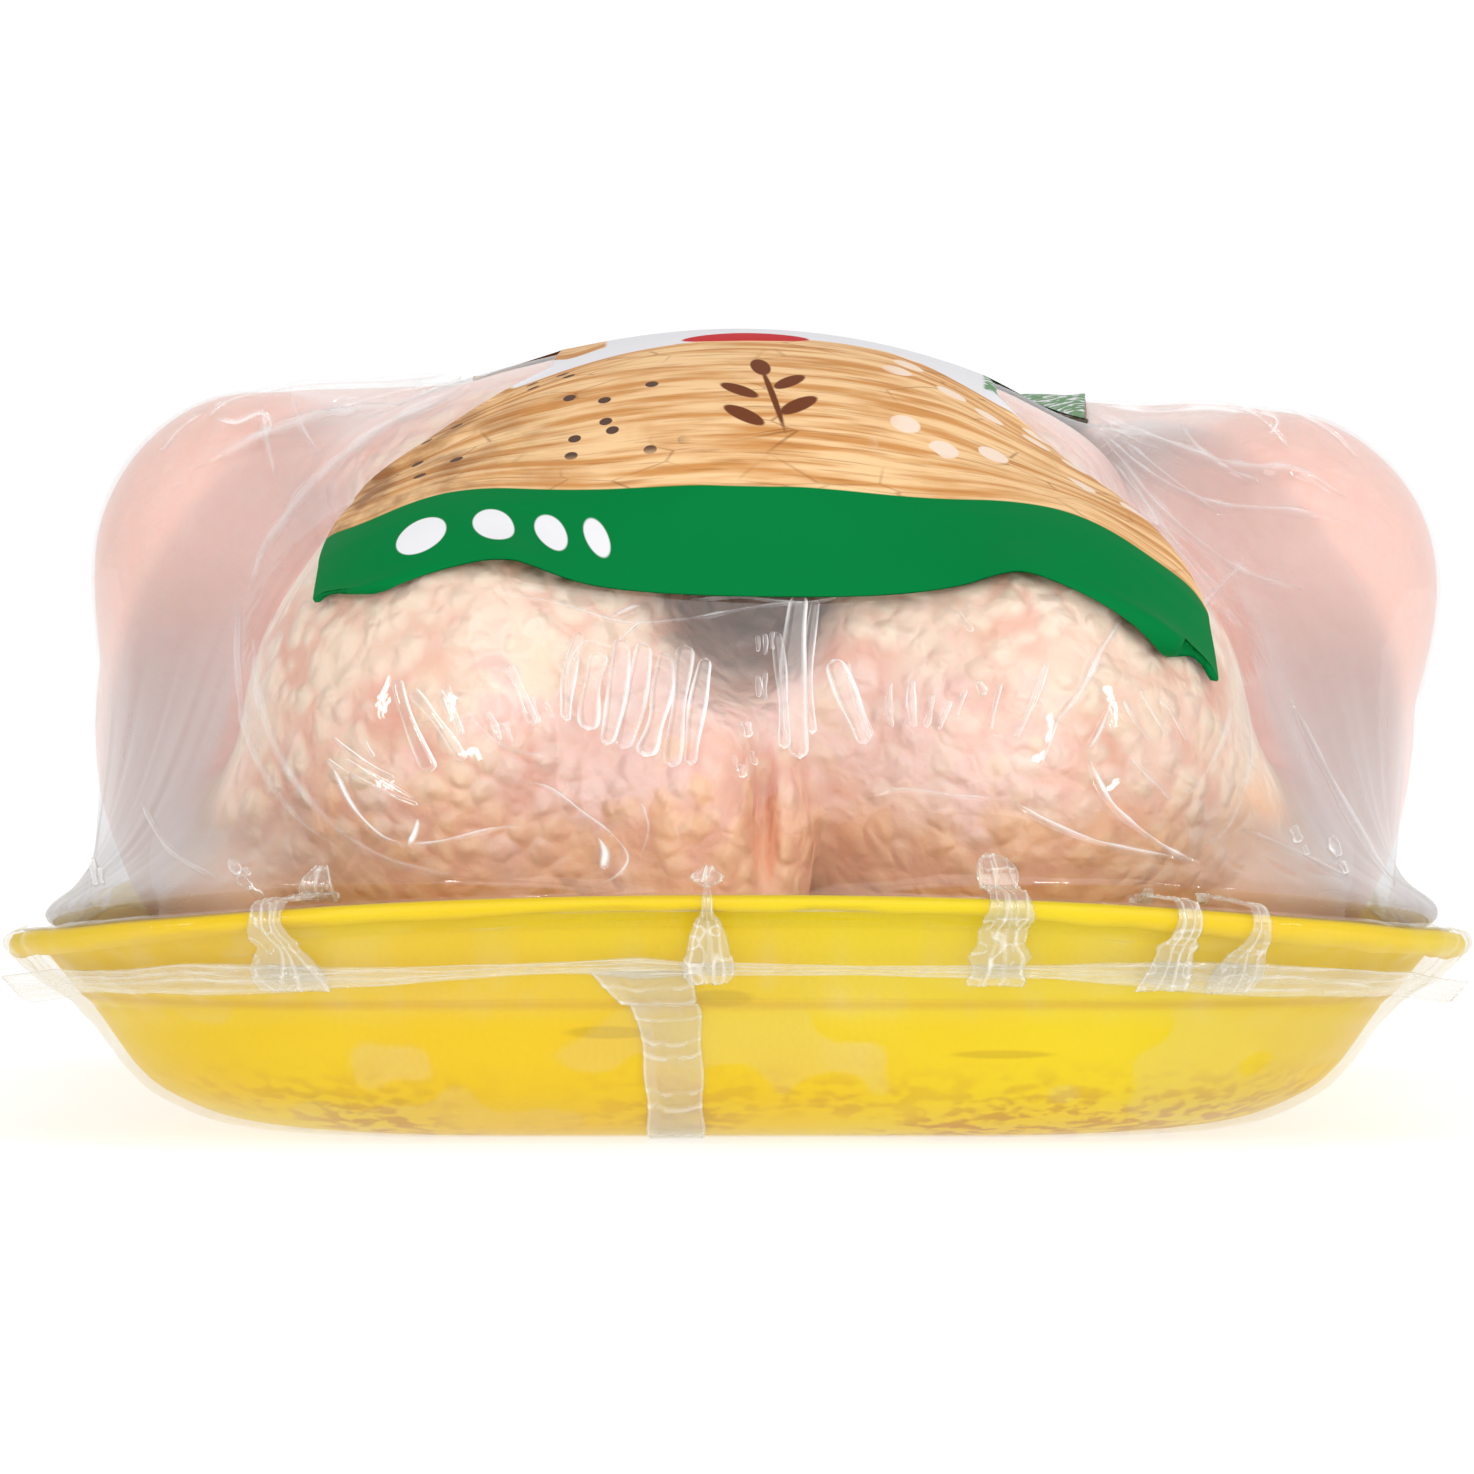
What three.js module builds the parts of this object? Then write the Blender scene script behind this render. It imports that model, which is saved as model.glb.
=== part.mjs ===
// A whole raw chicken on its back in a foam tray, sealed in shrink film, with a paper label on top.
// Millimetres, +Z up. The neck end looks towards -Y, and the tray stands on z = 0.

import * as THREE from 'three';

// Clear space kept between pieces that touch
const GAP = 0.35;
// Stands in for nothing where a length would divide by it
const TINY = 1e-6;

// Tray: outer edge of the rim in plan, and the height of the rim at its corners
const RIM_HALF_WIDTH = 96.5;
const RIM_HALF_LENGTH = 131;
const RIM_CORNER_RADIUS = 46;
const RIM_HEIGHT = 27.8;
const RIM_TOP = 28.3;
// The tight film bends the rim: up in the middle of the ends, down along the sides, and inwards
const END_LIFT = 4.2;
const SIDE_SAG = 3.4;
const END_PULL = 1.5;
const SIDE_PULL = 4.5;
// Half lengths of the stretches that bend
const LIFT_HALF_WIDTH = 88;
const LIFT_HALF_LENGTH = 120;
const PULL_HALF_WIDTH = 80;
const PULL_HALF_LENGTH = 105;
const LIFT_POWER = 2.2;
// Outside this share the wall is the rolled lip, which hangs less by this much where the end rises
const LIP_SHARE = 0.96;
const LIP_FLATTENING = 0.62;
// Below the rim, corners tighten down to this share of the rim's corner
const BASE_CORNER_SHARE = 0.5;
const CORNER_FIT = 0.98;

// Sections of the tray's wall, each point as a share of the rim's half width and a height
const TRAY_OUTSIDE = [
  [0.6, 0], [0.66, 0.9], [0.72, 2.4], [0.785, 5.6], [0.82, 8.7], [0.845, 12], [0.868, 15.4],
  [0.884, 17.3], [0.893, 18], [0.925, 22.2], [0.952, 25.2], [0.976, 24.7], [0.995, 25.3],
  [1, 26.5], [0.995, 27.8],
];
const TRAY_INSIDE = [
  [0.972, 28.3], [0.945, 27.9], [0.908, 25.2], [0.862, 19.4], [0.815, 13.6], [0.775, 8.8],
  [0.7, 5.3], [0.66, 4], [0.6, 3.3],
];
const TRAY_FLOOR = 3.3;

// Film: the fan of rays that its surface is measured along, and the ring where it lies on the rim
const FAN_HEIGHT = 18;
const FAN_SQUASH = 0.85;
const FAN_REACH = 190;
const AROUND = 80;
const FILM_ROWS = 34;
const FILM_EDGE_SHARE = 0.985;
const FILM_EDGE_HEIGHT = 28.45;
// The film stands out over the tray's corners, most at this height above the rim
const CORNER_FLARE = 9;
const FLARE_HEIGHT = 2.5;
const FLARE_POWER = 4;
// Tightness of the film round the pack against its tightness up and over it
const HOOP_TENSION = 2;
const TIGHTENING_STEPS = 500;
const SLACK_REACH = 60;
const MARCH_STEPS = 60;
const MARCH_SHARE = 0.9;
const MARCH_END = 0.02;

// Chicken: rounded lobes, each blended into those before it over the given width
const LOBES = [
  { name: 'carcass', centre: [0, 8, 46], radii: [60, 100, 42], blend: 0 },
  { name: 'breast', centre: [1, -40, 59.5], radii: [60, 62, 46], blend: 10 },
  { name: 'breast crown', centre: [-3.5, -30, 83.5], radii: [56, 46, 20], blend: 5 },
  { name: 'left shoulder', centre: [-33, -70, 49], radii: [33, 40, 39], blend: 7 },
  { name: 'right shoulder', centre: [36, -70, 48], radii: [33, 40, 38], blend: 7 },
  { name: 'belly', centre: [1, 42, 62], radii: [50, 58, 36], blend: 14 },
  { name: 'left thigh', centre: [-62, 14, 52], radii: [28.5, 42, 40], blend: 7 },
  { name: 'right thigh', centre: [68, 14, 52.5], radii: [27.5, 42, 40], blend: 7 },
  { name: 'left leg', from: [-65.3, -6, 74.8], to: [-28, 94, 90], thick: 24, thin: 12, blend: 9 },
  { name: 'right leg', from: [73, -6, 71.7], to: [31, 96, 88], thick: 24.5, thin: 12, blend: 9 },
  { name: 'left hock', centre: [-25, 100, 90], radii: [13, 12, 12.5], blend: 3 },
  { name: 'right hock', centre: [28, 102, 87], radii: [13, 12, 12.5], blend: 3 },
  { name: 'left wing', from: [-54, -76, 38], to: [-67, -22, 34], thick: 16, thin: 13, blend: 5 },
  { name: 'right wing', from: [57, -76, 38], to: [71, -22, 34], thick: 16, thin: 13, blend: 5 },
  { name: 'left wing tip', from: [-68, -22, 33], to: [-67, -84, 27], thick: 12, thin: 9, blend: 4 },
  { name: 'right wing tip', from: [72, -22, 33], to: [71, -84, 27], thick: 12, thin: 9, blend: 4 },
  { name: 'neck skin', centre: [-5, -100, 38], radii: [15, 12, 24], blend: 4 },
  { name: 'tail', centre: [0, 108, 38], radii: [17, 16, 13], blend: 6 },
];

// Label: a wide panel over the neck end, a narrow waist and a far panel, draped over the breast.
// Its outline on each side goes smoothly through places along its middle line and half widths
const LABEL_THICKNESS = 0.6;
const LABEL_GAP = 0.65;
const LABEL_MIDDLE = 2.5;
const LABEL_NEAR_EDGE = -100.8;
const LABEL_LENGTH = 182;
const LABEL_CORNER_SETBACK = 9;
const LABEL_SETBACK_POWER = 8;
const LABEL_SETBACK_SHARE = 0.3;
const LABEL_LEFT = [[0, 57.5], [17, 57], [46, 53], [60, 27], [78, 26], [102, 40], [182, 41]];
const LABEL_RIGHT = [[0, 60], [17, 59], [42, 48], [60, 32], [78, 31], [102, 46], [182, 48]];
const LABEL_CORNER = 2.5;
const LABEL_ROWS = 26;
const LABEL_COLUMNS = 14;
const LABEL_CLEARANCE = 0.5;
const EDGE_SHARES = [0.2, 0.4, 0.6, 0.8];
const SETTLE_PASSES = 2;
const SLOPE_STEP = 3;
const WALK_STEP = 0.25;
const RAY_START = 160;

// Sealed edges of the film: a band across each end under the rim, and a lap seam down each end
const BAND_LOW = [0.9, 18.7];
const BAND_HIGH = [0.93, 22.6];
const BAND_TURN = 0.86;
const BAND_STEPS = 32;
const BAND_THICKNESS = 1.3;
const BAND_WAVE = 0.7;
const BAND_WAVES = 9;
const SEAM_OFFSET = -10;
const SEAM_TOP_WIDTH = 13;
const SEAM_FOOT_WIDTH = 7.5;
const SEAM_THICKNESS = 0.7;
const SEAM_LEAN = 4;
const SEAM_FOOT = 1.4;
const SEAM_STEPS = 12;
const SEAM_CLEARANCE = 0.6;
const TURN_SEARCH_STEPS = 8;
const TURN_STEP = 0.02;

const FOAM = { color: 0xf5cd2f, roughness: 0.55 };
const WRAPPED_SKIN = { color: 0xf0ccb9, roughness: 0.35 };
const PAPER = { color: 0xf1c693, roughness: 0.5 };
const FILM_SEAL = { color: 0xeadfc0, roughness: 0.2 };

// Rise and inward pull of the rim at a place on its outer edge
function rimLift(x, y) {
  const acrossEnd = Math.max(0, 1 - (Math.abs(x) / LIFT_HALF_WIDTH) ** LIFT_POWER);
  const alongSide = Math.max(0, 1 - (Math.abs(y) / LIFT_HALF_LENGTH) ** LIFT_POWER);
  const hump = END_LIFT * acrossEnd * (y / RIM_HALF_LENGTH) ** 2;
  return hump - SIDE_SAG * alongSide * (x / RIM_HALF_WIDTH) ** 2;
}

function rimPull(x, y) {
  const acrossEnd = Math.max(0, 1 - (x / PULL_HALF_WIDTH) ** 2);
  const alongSide = Math.max(0, 1 - (y / PULL_HALF_LENGTH) ** 2);
  return {
    x: 1 - (SIDE_PULL / RIM_HALF_WIDTH) * alongSide,
    y: 1 - (END_PULL / RIM_HALF_LENGTH) * acrossEnd,
  };
}

// Distance from the middle of a rounded rectangle to its edge, along a unit direction in plan
function reachToEdge(dx, dy, halfWidth, halfLength, radius) {
  const ax = Math.abs(dx);
  const ay = Math.abs(dy);
  const straight = Math.min(halfWidth / Math.max(ax, TINY), halfLength / Math.max(ay, TINY));
  const cx = halfWidth - radius;
  const cy = halfLength - radius;
  if (straight * ax <= cx || straight * ay <= cy) return straight;
  const along = ax * cx + ay * cy;
  return along + Math.sqrt(Math.max(0, along * along - cx * cx - cy * cy + radius * radius));
}

// Direction in plan of a turn about the pack's axis, starting at the neck end
function heading(turn) {
  const x = Math.sin(turn) * RIM_HALF_WIDTH;
  const y = -Math.cos(turn) * RIM_HALF_LENGTH;
  const length = Math.hypot(x, y);
  return [x / length, y / length];
}

// Height of a place in the section: the lip hangs less below the rim where the rim rises
function levelAt(share, height, lift) {
  if (share <= LIP_SHARE || lift <= 0) return height;
  return RIM_TOP - (RIM_TOP - height) * (1 - (LIP_FLATTENING * lift) / END_LIFT);
}

// One point of the tray: the rim's outline drawn in by a share, at a height, bent with the rim
function trayPoint(turn, [share, height]) {
  const inset = RIM_HALF_WIDTH * (1 - share);
  const halfWidth = RIM_HALF_WIDTH - inset;
  const halfLength = RIM_HALF_LENGTH - inset;
  const corner = RIM_CORNER_RADIUS * Math.max(share, BASE_CORNER_SHARE);
  const radius = Math.min(corner, CORNER_FIT * halfWidth);
  const [dx, dy] = heading(turn);
  const reach = reachToEdge(dx, dy, halfWidth, halfLength, radius);
  const x = dx * reach;
  const y = dy * reach;
  const rimX = x * RIM_HALF_WIDTH / halfWidth;
  const rimY = y * RIM_HALF_LENGTH / halfLength;
  const lift = rimLift(rimX, rimY);
  const level = levelAt(share, height, lift);
  const bend = (level / RIM_HEIGHT) ** 2;
  const pull = rimPull(rimX, rimY);
  return new THREE.Vector3(
    x * (1 - bend + bend * pull.x),
    y * (1 - bend + bend * pull.y),
    level + bend * lift,
  );
}

function turnsAround() {
  return Array.from({ length: AROUND }, (_, i) => (2 * Math.PI * i) / AROUND);
}

function trayRing(station) {
  return turnsAround().map((turn) => trayPoint(turn, station));
}

// Closed body of rings stacked between a lowest and a last point, as a BufferGeometry
function ringBody(start, rings, end) {
  const points = [start, ...rings.flat(), end];
  const last = points.length - 1;
  const at = (ring, i) => 1 + ring * AROUND + (i % AROUND);
  const faces = [];
  for (let i = 0; i < AROUND; i += 1) {
    faces.push(0, at(0, i + 1), at(0, i));
    for (let ring = 0; ring < rings.length - 1; ring += 1) {
      faces.push(at(ring, i), at(ring, i + 1), at(ring + 1, i + 1));
      faces.push(at(ring, i), at(ring + 1, i + 1), at(ring + 1, i));
    }
    faces.push(at(rings.length - 1, i), at(rings.length - 1, i + 1), last);
  }
  const geometry = new THREE.BufferGeometry().setFromPoints(points);
  geometry.setIndex(faces);
  geometry.computeVertexNormals();
  return geometry;
}

// Signed distances to the chicken's lobes, and their smooth union
function ellipsoidDistance(p, { centre, radii }) {
  const x = p.x - centre[0];
  const y = p.y - centre[1];
  const z = p.z - centre[2];
  const shell = Math.hypot(x / radii[0], y / radii[1], z / radii[2]);
  const slope = Math.hypot(x / radii[0] ** 2, y / radii[1] ** 2, z / radii[2] ** 2);
  return (shell * (shell - 1)) / Math.max(slope, TINY);
}

function taperDistance(p, { from, to, thick, thin }) {
  const axis = to.map((value, k) => value - from[k]);
  const offset = [p.x - from[0], p.y - from[1], p.z - from[2]];
  const dot = (a, b) => a[0] * b[0] + a[1] * b[1] + a[2] * b[2];
  const t = THREE.MathUtils.clamp(dot(offset, axis) / dot(axis, axis), 0, 1);
  const rest = offset.map((value, k) => value - t * axis[k]);
  return Math.hypot(...rest) - THREE.MathUtils.lerp(thick, thin, t);
}

function smoothUnion(a, b, width) {
  const h = THREE.MathUtils.clamp(0.5 + (0.5 * (b - a)) / width, 0, 1);
  return THREE.MathUtils.lerp(b, a, h) - width * h * (1 - h);
}

function chickenDistance(p) {
  let distance = Infinity;
  for (const lobe of LOBES) {
    const own = lobe.radii ? ellipsoidDistance(p, lobe) : taperDistance(p, lobe);
    distance = lobe.blend > 0 ? smoothUnion(distance, own, lobe.blend) : own;
  }
  return distance;
}

// Rays from the middle of the tray: from the film's edge on the rim up to straight overhead
function filmFan() {
  const centre = new THREE.Vector3(0, 0, FAN_HEIGHT);
  return turnsAround().map((turn) => {
    const edge = trayPoint(turn, [FILM_EDGE_SHARE, FILM_EDGE_HEIGHT]).sub(centre);
    const flat = Math.hypot(edge.x, edge.y);
    const low = Math.atan2(edge.z, flat);
    const rays = [];
    for (let row = 0; row < FILM_ROWS; row += 1) {
      const rise = THREE.MathUtils.lerp(low, Math.PI / 2, row / (FILM_ROWS - 1));
      const out = Math.cos(rise) / flat;
      rays.push(new THREE.Vector3(edge.x * out, edge.y * out, Math.sin(rise) * FAN_SQUASH).normalize());
    }
    rays[0] = edge.clone().normalize();
    return { edge: edge.length(), rays };
  });
}

// Outermost reach of the chicken along a ray, marched inwards from outside
function reachOfChicken(ray) {
  const p = new THREE.Vector3();
  let reach = FAN_REACH;
  for (let step = 0; step < MARCH_STEPS; step += 1) {
    p.copy(ray).multiplyScalar(reach);
    p.z += FAN_HEIGHT;
    const clear = chickenDistance(p) - GAP;
    if (Math.abs(clear) < MARCH_END) break;
    reach -= clear * MARCH_SHARE;
    if (reach <= 0) return 0;
  }
  return reach;
}

// Where the chord between two neighbours passes the ray, and how firmly it pulls
function chordPull(a, b, here, ray) {
  const toA = a.distanceTo(here) + TINY;
  const toB = b.distanceTo(here) + TINY;
  const crossing = a.clone().multiplyScalar(toB).addScaledVector(b, toA).divideScalar(toA + toB);
  return { reach: crossing.dot(ray), weight: 1 / (toA * toB) };
}

// The film as a stretched skin: every point goes to the chords between its neighbours, but never
// below the chicken, and its edge stays on the rim
function stretchedFilm(fan) {
  const top = FILM_ROWS - 1;
  const floor = fan.map(({ rays }) => rays.map(reachOfChicken));
  const reach = fan.map(({ edge }, i) => floor[i].map((low, row) => (
    row === 0 ? edge : Math.max(low, SLACK_REACH)
  )));
  const points = fan.map(({ rays }, i) => rays.map((ray, row) => (
    ray.clone().multiplyScalar(reach[i][row])
  )));
  for (let step = 0; step < TIGHTENING_STEPS; step += 1) {
    for (let i = 0; i < AROUND; i += 1) {
      const before = points[(i + AROUND - 1) % AROUND];
      const after = points[(i + 1) % AROUND];
      for (let row = 1; row < top; row += 1) {
        const here = points[i][row];
        const ray = fan[i].rays[row];
        const over = chordPull(points[i][row - 1], points[i][row + 1], here, ray);
        const round = chordPull(before[row], after[row], here, ray);
        const roundWeight = round.weight * HOOP_TENSION;
        const pulled = (over.reach * over.weight + round.reach * roundWeight)
          / (over.weight + roundWeight);
        here.copy(ray).multiplyScalar(Math.max(floor[i][row], pulled));
      }
    }
    const crown = points.reduce((sum, column) => sum + column[top - 1].z, 0) / AROUND;
    points.forEach((column) => column[top].set(0, 0, Math.max(floor[0][top], crown)));
  }
  points.flat().forEach((point) => { point.z += FAN_HEIGHT; });
  return points;
}

// Pushes the film out over the tray's corners, along its rays: the push grows evenly above the rim
// up to the flare's height and then dies away
function flaredFilm(fan, points) {
  turnsAround().forEach((turn, i) => {
    const corner = Math.sin(2 * turn) ** FLARE_POWER;
    points[i].forEach((point, row) => {
      const share = (point.z - points[i][0].z) / FLARE_HEIGHT;
      const push = CORNER_FLARE * corner * share * Math.exp(1 - share);
      point.addScaledVector(fan[i].rays[row], push);
    });
  });
  return points;
}

function named(name, geometry, { color, roughness }) {
  const material = new THREE.MeshStandardMaterial({ color, roughness, metalness: 0 });
  const mesh = new THREE.Mesh(geometry, material);
  mesh.name = name;
  return mesh;
}

// Hollow foam tray: up the outside, over the rolled lip and down the inside to the floor
function tray() {
  const rings = [...TRAY_OUTSIDE, ...TRAY_INSIDE].map(trayRing);
  const start = new THREE.Vector3(0, 0, 0);
  const end = new THREE.Vector3(0, 0, TRAY_FLOOR);
  return named('tray', ringBody(start, rings, end), FOAM);
}

// The chicken under its film: a body that fills the tray, with the film as its upper skin
function wrappedChicken() {
  const fan = filmFan();
  const film = flaredFilm(fan, stretchedFilm(fan));
  const inset = GAP / RIM_HALF_WIDTH;
  const lining = TRAY_INSIDE.map(([share, height]) => [share - inset, height + GAP]).reverse();
  const rings = lining.map(trayRing);
  for (let row = 0; row < FILM_ROWS - 1; row += 1) {
    rings.push(film.map((column) => column[row]));
  }
  const start = new THREE.Vector3(0, 0, TRAY_FLOOR + GAP);
  const end = film[0][FILM_ROWS - 1];
  return named('wrapped_chicken', ringBody(start, rings, end), WRAPPED_SKIN);
}

// Height and upward normal of the film over a place in plan
function filmSurface(mesh) {
  mesh.updateMatrixWorld(true);
  const caster = new THREE.Raycaster();
  const down = new THREE.Vector3(0, 0, -1);
  const height = (x, y) => {
    caster.set(new THREE.Vector3(x, y, RAY_START), down);
    return caster.intersectObject(mesh)[0].point.z;
  };
  const normal = (x, y) => {
    const slopeX = (height(x + SLOPE_STEP, y) - height(x - SLOPE_STEP, y)) / (2 * SLOPE_STEP);
    const slopeY = (height(x, y + SLOPE_STEP) - height(x, y - SLOPE_STEP)) / (2 * SLOPE_STEP);
    return new THREE.Vector3(-slopeX, -slopeY, 1).normalize();
  };
  return { height, normal };
}

// Places along the label's middle line, evenly spaced over the film from the near edge
function labelSpine(height) {
  const spine = [LABEL_NEAR_EDGE];
  const step = LABEL_LENGTH / LABEL_ROWS;
  let y = LABEL_NEAR_EDGE;
  for (let row = 1; row <= LABEL_ROWS; row += 1) {
    for (let gone = 0; gone < step; y += WALK_STEP) {
      const rise = height(LABEL_MIDDLE, y + WALK_STEP) - height(LABEL_MIDDLE, y);
      gone += Math.hypot(WALK_STEP, rise);
    }
    spine.push(y);
  }
  return spine;
}

// Half width of one side of the label at a share of its length
function labelHalf(side, share) {
  const along = share * LABEL_LENGTH;
  const next = Math.max(1, side.findIndex(([place]) => place >= along));
  const [[from, before], [to, after]] = [side[next - 1], side[next]];
  const corner = share === 0 || share === 1 ? LABEL_CORNER : 0;
  const ease = THREE.MathUtils.smoothstep(along, from, to);
  return THREE.MathUtils.lerp(before, after, ease) - corner;
}

// Closed thin body between a lower and an upper sheet of the same rows and columns
function sheetBody(lower, upper) {
  const rows = lower.length;
  const columns = lower[0].length;
  const points = [...lower.flat(), ...upper.flat()];
  const at = (row, column, layer) => layer * rows * columns + row * columns + column;
  const faces = [];
  const quad = (a, b, c, d) => faces.push(a, b, c, a, c, d);
  for (let row = 0; row < rows - 1; row += 1) {
    for (let column = 0; column < columns - 1; column += 1) {
      const corners = [[row, column], [row, column + 1], [row + 1, column + 1], [row + 1, column]];
      quad(...corners.map(([r, c]) => at(r, c, 1)));
      quad(...corners.reverse().map(([r, c]) => at(r, c, 0)));
    }
    quad(at(row, 0, 0), at(row, 0, 1), at(row + 1, 0, 1), at(row + 1, 0, 0));
    quad(at(row, columns - 1, 1), at(row, columns - 1, 0), at(row + 1, columns - 1, 0),
      at(row + 1, columns - 1, 1));
  }
  for (let column = 0; column < columns - 1; column += 1) {
    quad(at(0, column, 0), at(0, column + 1, 0), at(0, column + 1, 1), at(0, column, 1));
    quad(at(rows - 1, column, 1), at(rows - 1, column + 1, 1), at(rows - 1, column + 1, 0),
      at(rows - 1, column, 0));
  }
  const geometry = new THREE.BufferGeometry().setFromPoints(points);
  geometry.setIndex(faces);
  geometry.computeVertexNormals();
  return geometry;
}

// Foot of every point of the label on the film, and the way up from it
function labelFeet({ height, normal }) {
  return labelSpine(height).map((spineY, row) => {
    const share = row / LABEL_ROWS;
    const left = labelHalf(LABEL_LEFT, share);
    const right = labelHalf(LABEL_RIGHT, share);
    return Array.from({ length: LABEL_COLUMNS + 1 }, (_, column) => {
      const across = (2 * column) / LABEL_COLUMNS - 1;
      const x = LABEL_MIDDLE + across * (across < 0 ? left : right);
      const nearness = Math.max(0, 1 - share / LABEL_SETBACK_SHARE);
      const setback = LABEL_CORNER_SETBACK * Math.abs(across) ** LABEL_SETBACK_POWER * nearness;
      const y = spineY + setback;
      return { foot: new THREE.Vector3(x, y, height(x, y)), up: normal(x, y), lift: LABEL_GAP };
    });
  });
}

function lifted({ foot, up, lift }, more) {
  return foot.clone().addScaledVector(up, lift + more);
}

// Raises the label's points until the middles of its edges and faces are clear of the film too
function settleLabel(feet, { height }) {
  for (let pass = 0; pass < SETTLE_PASSES; pass += 1) {
    for (let row = 0; row < LABEL_ROWS; row += 1) {
      for (let column = 0; column < LABEL_COLUMNS; column += 1) {
        const a = feet[row][column];
        const b = feet[row][column + 1];
        const c = feet[row + 1][column + 1];
        const d = feet[row + 1][column];
        for (const [one, two] of [[a, b], [b, c], [c, d], [d, a], [a, c]]) {
          const clear = EDGE_SHARES.map((share) => {
            const spot = lifted(one, 0).lerp(lifted(two, 0), share);
            return (spot.z - height(spot.x, spot.y)) * one.up.z;
          });
          const short = Math.max(0, LABEL_CLEARANCE - Math.min(...clear));
          one.lift += short;
          two.lift += short;
        }
      }
    }
  }
}

// Paper label with a narrow waist, bent over the film
function label(wrapped) {
  const surface = filmSurface(wrapped);
  const feet = labelFeet(surface);
  settleLabel(feet, surface);
  const lower = feet.map((row) => row.map((point) => lifted(point, 0)));
  const upper = feet.map((row) => row.map((point) => lifted(point, LABEL_THICKNESS)));
  return named('label', sheetBody(lower, upper), PAPER);
}

// Plan direction away from the tray's wall at a turn
function outward(turn, station) {
  const before = trayPoint(turn - TURN_STEP, station);
  const after = trayPoint(turn + TURN_STEP, station);
  return new THREE.Vector3(after.y - before.y, before.x - after.x, 0).normalize();
}

// Ropey sealed edge of the film that lies across one end, under the lip
function endSeal(name, facing) {
  const lower = [];
  const upper = [];
  for (let i = 0; i <= BAND_STEPS; i += 1) {
    const share = i / BAND_STEPS;
    const turn = facing + THREE.MathUtils.lerp(-BAND_TURN, BAND_TURN, share);
    const wave = BAND_WAVE * (1 + Math.sin(2 * Math.PI * BAND_WAVES * share)) / 2;
    const out = outward(turn, BAND_LOW);
    const low = trayPoint(turn, BAND_LOW).addScaledVector(out, SEAM_CLEARANCE);
    const high = trayPoint(turn, BAND_HIGH).addScaledVector(out, SEAM_CLEARANCE);
    const thick = out.clone().multiplyScalar(BAND_THICKNESS + wave);
    lower.push([high, low]);
    upper.push([high.clone().add(thick), low.clone().add(thick)]);
  }
  return named(name, sheetBody(lower, upper), FILM_SEAL);
}

// Turn about the axis at which the tray's wall stands at a place across the end
function turnAt(x, station, facing) {
  let turn = facing;
  for (let i = 0; i < TURN_SEARCH_STEPS; i += 1) {
    const point = trayPoint(turn, station);
    turn += ((x - point.x) / Math.abs(point.y)) * Math.cos(facing);
  }
  return turn;
}

// Lap seam of the film down the wall of one end, from the band to the base
function lapSeam(name, facing) {
  const lower = [];
  const upper = [];
  const wall = new THREE.CatmullRomCurve3(
    TRAY_OUTSIDE.filter(([, height]) => height < BAND_LOW[1])
      .map(([share, height]) => new THREE.Vector3(share, height, 0)),
  );
  const footAt = SEAM_FOOT / BAND_LOW[1];
  for (let i = 0; i <= SEAM_STEPS; i += 1) {
    const drop = i / SEAM_STEPS;
    const spot = wall.getPoint(THREE.MathUtils.lerp(1, footAt, drop));
    const station = [spot.x, spot.y];
    const half = THREE.MathUtils.lerp(SEAM_TOP_WIDTH, SEAM_FOOT_WIDTH, Math.sqrt(drop)) / 2;
    const middle = SEAM_OFFSET + SEAM_LEAN * (drop - 0.5);
    const lean = half * Math.cos(facing);
    const sides = [middle + lean, middle - lean].map((x) => turnAt(x, station, facing));
    const low = sides.map((turn) => (
      trayPoint(turn, station).addScaledVector(outward(turn, station), SEAM_CLEARANCE)
    ));
    lower.push(low);
    upper.push(low.map((point, side) => (
      point.clone().addScaledVector(outward(sides[side], station), SEAM_THICKNESS)
    )));
  }
  return named(name, sheetBody(lower, upper), FILM_SEAL);
}

const pack = new THREE.Group();
const wrapped = wrappedChicken();
pack.add(tray(), wrapped, label(wrapped));
pack.add(endSeal('end_seal_front', 0), endSeal('end_seal_back', Math.PI));
pack.add(lapSeam('lap_seam_front', 0), lapSeam('lap_seam_back', Math.PI));

export default pack;
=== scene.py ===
"""A whole raw chicken on its back in a foam tray, under clear shrink film, with a paper label.

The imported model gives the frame. The tray, the bird, the film, its seals and the label are worked
out again here at full detail from the same driving sizes, in millimetres, and put into meshes in
metres. The neck end looks towards -Y, and the tray stands on z = 0.
"""

import logging
import math
from dataclasses import dataclass, field
from enum import Enum

import bpy
import numpy as np
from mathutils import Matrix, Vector


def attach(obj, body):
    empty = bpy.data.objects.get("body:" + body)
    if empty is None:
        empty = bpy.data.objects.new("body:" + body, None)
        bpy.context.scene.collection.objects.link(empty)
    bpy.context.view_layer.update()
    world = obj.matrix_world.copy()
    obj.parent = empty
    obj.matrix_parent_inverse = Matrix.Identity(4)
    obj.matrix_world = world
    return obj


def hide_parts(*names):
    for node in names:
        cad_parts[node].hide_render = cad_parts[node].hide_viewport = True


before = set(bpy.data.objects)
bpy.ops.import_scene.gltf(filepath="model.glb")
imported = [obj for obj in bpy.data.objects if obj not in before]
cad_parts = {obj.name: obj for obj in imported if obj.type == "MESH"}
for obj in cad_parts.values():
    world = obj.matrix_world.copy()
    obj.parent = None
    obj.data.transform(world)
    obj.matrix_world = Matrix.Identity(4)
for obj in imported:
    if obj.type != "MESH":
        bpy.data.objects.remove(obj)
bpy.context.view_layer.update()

Array = np.ndarray
Object = bpy.types.Object
Socket = bpy.types.NodeSocket
Pair = tuple[float, float]
Triple = tuple[float, float, float]
Mark = tuple[float, float, float, float, float]

MM = 0.001
TINY = 1e-9
ROOT = "root"
FULL_TURN = 2 * math.pi
log = logging.getLogger("pack")


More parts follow.
